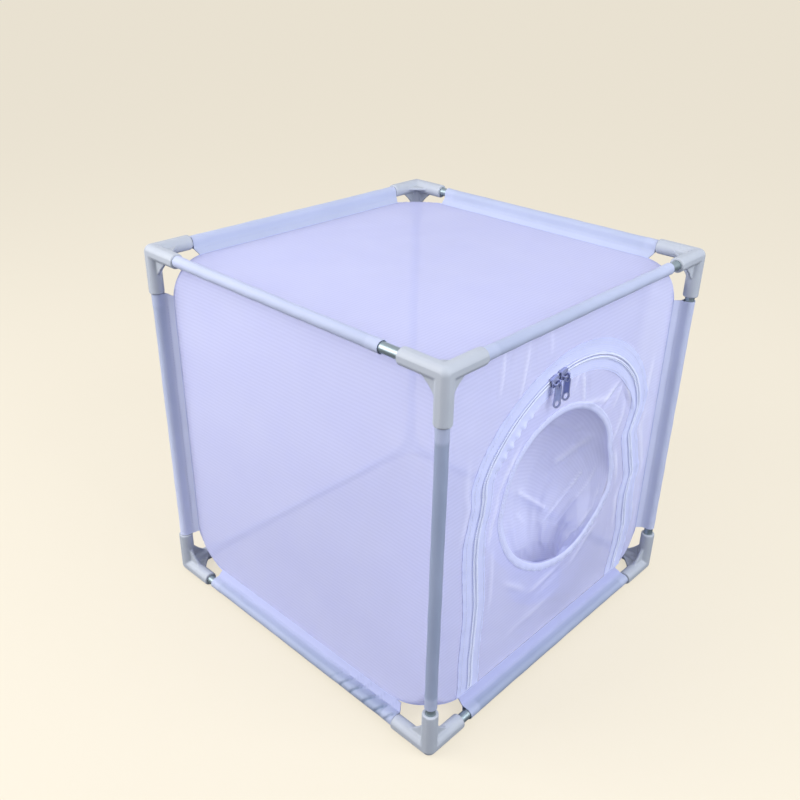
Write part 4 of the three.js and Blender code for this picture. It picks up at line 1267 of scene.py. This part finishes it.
def pressHollow(build):
    for sign in (-1, 1):
        flat = [f for f in build.faces if f.normal.y * sign > 0.99]
        bmesh.ops.inset_region(build, faces=flat, thickness=metal["panelRim"], depth=0, use_even_offset=True)
        sunk = [f for f in flat if f.is_valid]
        verts = list({v for f in sunk for v in f.verts})
        bmesh.ops.translate(build, verts=verts, vec=(0, -sign * metal["panelDepth"], 0))
        for f in sunk:
            f.material_index = 1


def refine(node, edge, materials):
    mesh = bpy.data.objects[node].data.copy()
    mesh.materials.clear()
    for material in materials:
        mesh.materials.append(material)
    build = bmesh.new()
    build.from_mesh(mesh)
    bmesh.ops.remove_doubles(build, verts=build.verts, dist=metal["merge"])
    flatWithin = math.radians(metal["flatWithin"])
    bmesh.ops.dissolve_limit(build, angle_limit=flatWithin, verts=build.verts, edges=build.edges)
    if len(materials) > 1:
        pressHollow(build)
    bmesh.ops.triangulate(build, faces=[f for f in build.faces if len(f.verts) > 4])
    build.normal_update()
    sharpFrom = math.radians(metal["sharpFrom"])
    sharp = [e for e in build.edges if len(e.link_faces) == 2 and e.calc_face_angle(0) > sharpFrom]
    if edge:
        rounding = {"offset": edge, "segments": 2, "profile": 0.6, "clamp_overlap": True}
        bmesh.ops.bevel(build, geom=sharp, affect="EDGES", **rounding)
    build.to_mesh(mesh)
    build.free()
    smoothUpTo(mesh, metal["smoothTo"])
    return addObject(node.replace("zip_", "metal_"), mesh)


# Each tab hangs a little turned on its ring
def turnTab(piece, hand):
    pivot = sum((Vector(corner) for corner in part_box(f"zip_tab_{hand}")), Vector()) / 2
    turned = Matrix.Rotation(math.radians(metal["tabTurn"][hand]), 4, "Z")
    narrowed = Matrix.Diagonal((metal["tabNarrow"], 1, 1, 1))
    piece.data.transform(Matrix.Translation(pivot) @ turned @ narrowed @ Matrix.Translation(-pivot))


for hand, panel in (("left", dulled), ("right", darkened)):  # the left tab's panel is drawn paler than the right's
    for kind, edge, body, materials in (
        ("slider", metal["edge"], "slider", [nickel]), ("ring", 0, "pull", [darkened]),
        ("tab", metal["edge"], "pull", [nickel, panel]),
    ):
        piece = refine(f"zip_{kind}_{hand}", edge, materials)
        if kind == "tab":
            turnTab(piece, hand)
        settle(piece, f"zip_{kind}_{hand}", f"{body}_{hand}")
print("metal parts ready")

# Stitches: one short thread on a line for each
stitch = {
    "pitch": 3.4, "length": 2.3, "thread": 0.26,
    "tapeRows": (4.6, 12.6), "tapeLift": 0.45, "boundGrow": 5.0, "boundLift": 0.95, "boundSteps": 200,
    "poleOut": 0.8, "poleLift": 0.62, "poleStep": 20,
    # from the crossing to a sleeve's last stitch; two sleeves have their front ends' further off
    "poleEnd": 61, "frontEnds": {"bottom_left": 120, "top_left": 69},
}


def stitchTree():
    tree, given, line = groupTree("stitches", "Pitch", "Length", "Thread")
    spots = addNode(tree, "GeometryNodeCurveToPoints", {"mode": "LENGTH"}, Curve=line, Length=given["Pitch"])
    bead = shape(tree, "MeshIcoSphere", Radius=1.0, Subdivisions=1)
    across, along = given["Thread"], maths(tree, "MULTIPLY", given["Length"], 0.5)
    size = addNode(tree, "ShaderNodeCombineXYZ", X=across, Y=across, Z=along).outputs[0]
    placed = laid(tree, spots.outputs[0], bead, spots.outputs["Tangent"], Scale=size)
    return finishTree(tree, given, placed)


stitchNodes = stitchTree()


def sew(name, lines, body, material, closed=False):
    sizes = {"Pitch": stitch["pitch"], "Length": stitch["length"], "Thread": stitch["thread"]}
    settle(runTree(name, lines, stitchNodes, material, closed, **sizes), body=body)


tapeFace = tape["depth"] + stitch["tapeLift"]
for name, way, body in (("outer", 1, "cage"), ("inner", -1, "cage to door")):
    lines = [onFront(*besideZip(way * row, slice(4, -4)), tapeFace) for row in stitch["tapeRows"]]
    sew(f"stitches_tape_{name}", lines, body, thread)
bound = holeRing(stitch["boundGrow"], stitch["boundSteps"])
boundLine = onFront(bound[:, 0], bound[:, 1], binding["depth"] + stitch["boundLift"])
sew("stitches_binding", [boundLine], "door", thread, closed=True)
poleLines = []
for name in edgeNames:
    inwards, across, along, place = edgeFrame(name)
    low, high = stitch["frontEnds"].get(name, stitch["poleEnd"]), stitch["poleEnd"]
    reach = (low - crossing, crossing - high) if along[1] > 0 else (high - crossing, crossing - low)
    row = place + (pole["seam"] + stitch["poleOut"]) * inwards
    for side in (-1, 1):
        ends = [row + side * stitch["poleLift"] * across + z * along for z in reach]
        poleLines.append(even(np.array(ends), stitch["poleStep"]))
sew("stitches_pole_sleeves", poleLines, "cage", seamCloth)
print("stitches ready")

# Seams of the bag: a thin rolled edge along its twelve edges
seam = {"radius": 0.7, "steps": 120, "inset": 0.01}


def seamTree():
    tree, given, line = groupTree("rolled seam", "Radius")
    return finishTree(tree, given, swept(tree, line, given["Radius"], 8, capped=True))


run = np.linspace(-bag["half"], bag["half"], seam["steps"])[:, None]
seamLines = []
for name in edgeNames:
    a, b = outwards(name.split("_"))
    seamLines.append(onBag((a + b) * (bag["half"] - seam["inset"]) + run * np.cross(a, b)))
settle(runTree("bag_seams", seamLines, seamTree(), seamCloth, Radius=seam["radius"]))
print("seams ready")

sizes = {"cad": cadBox, "visual": [list(corner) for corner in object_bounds()]}
print("done")
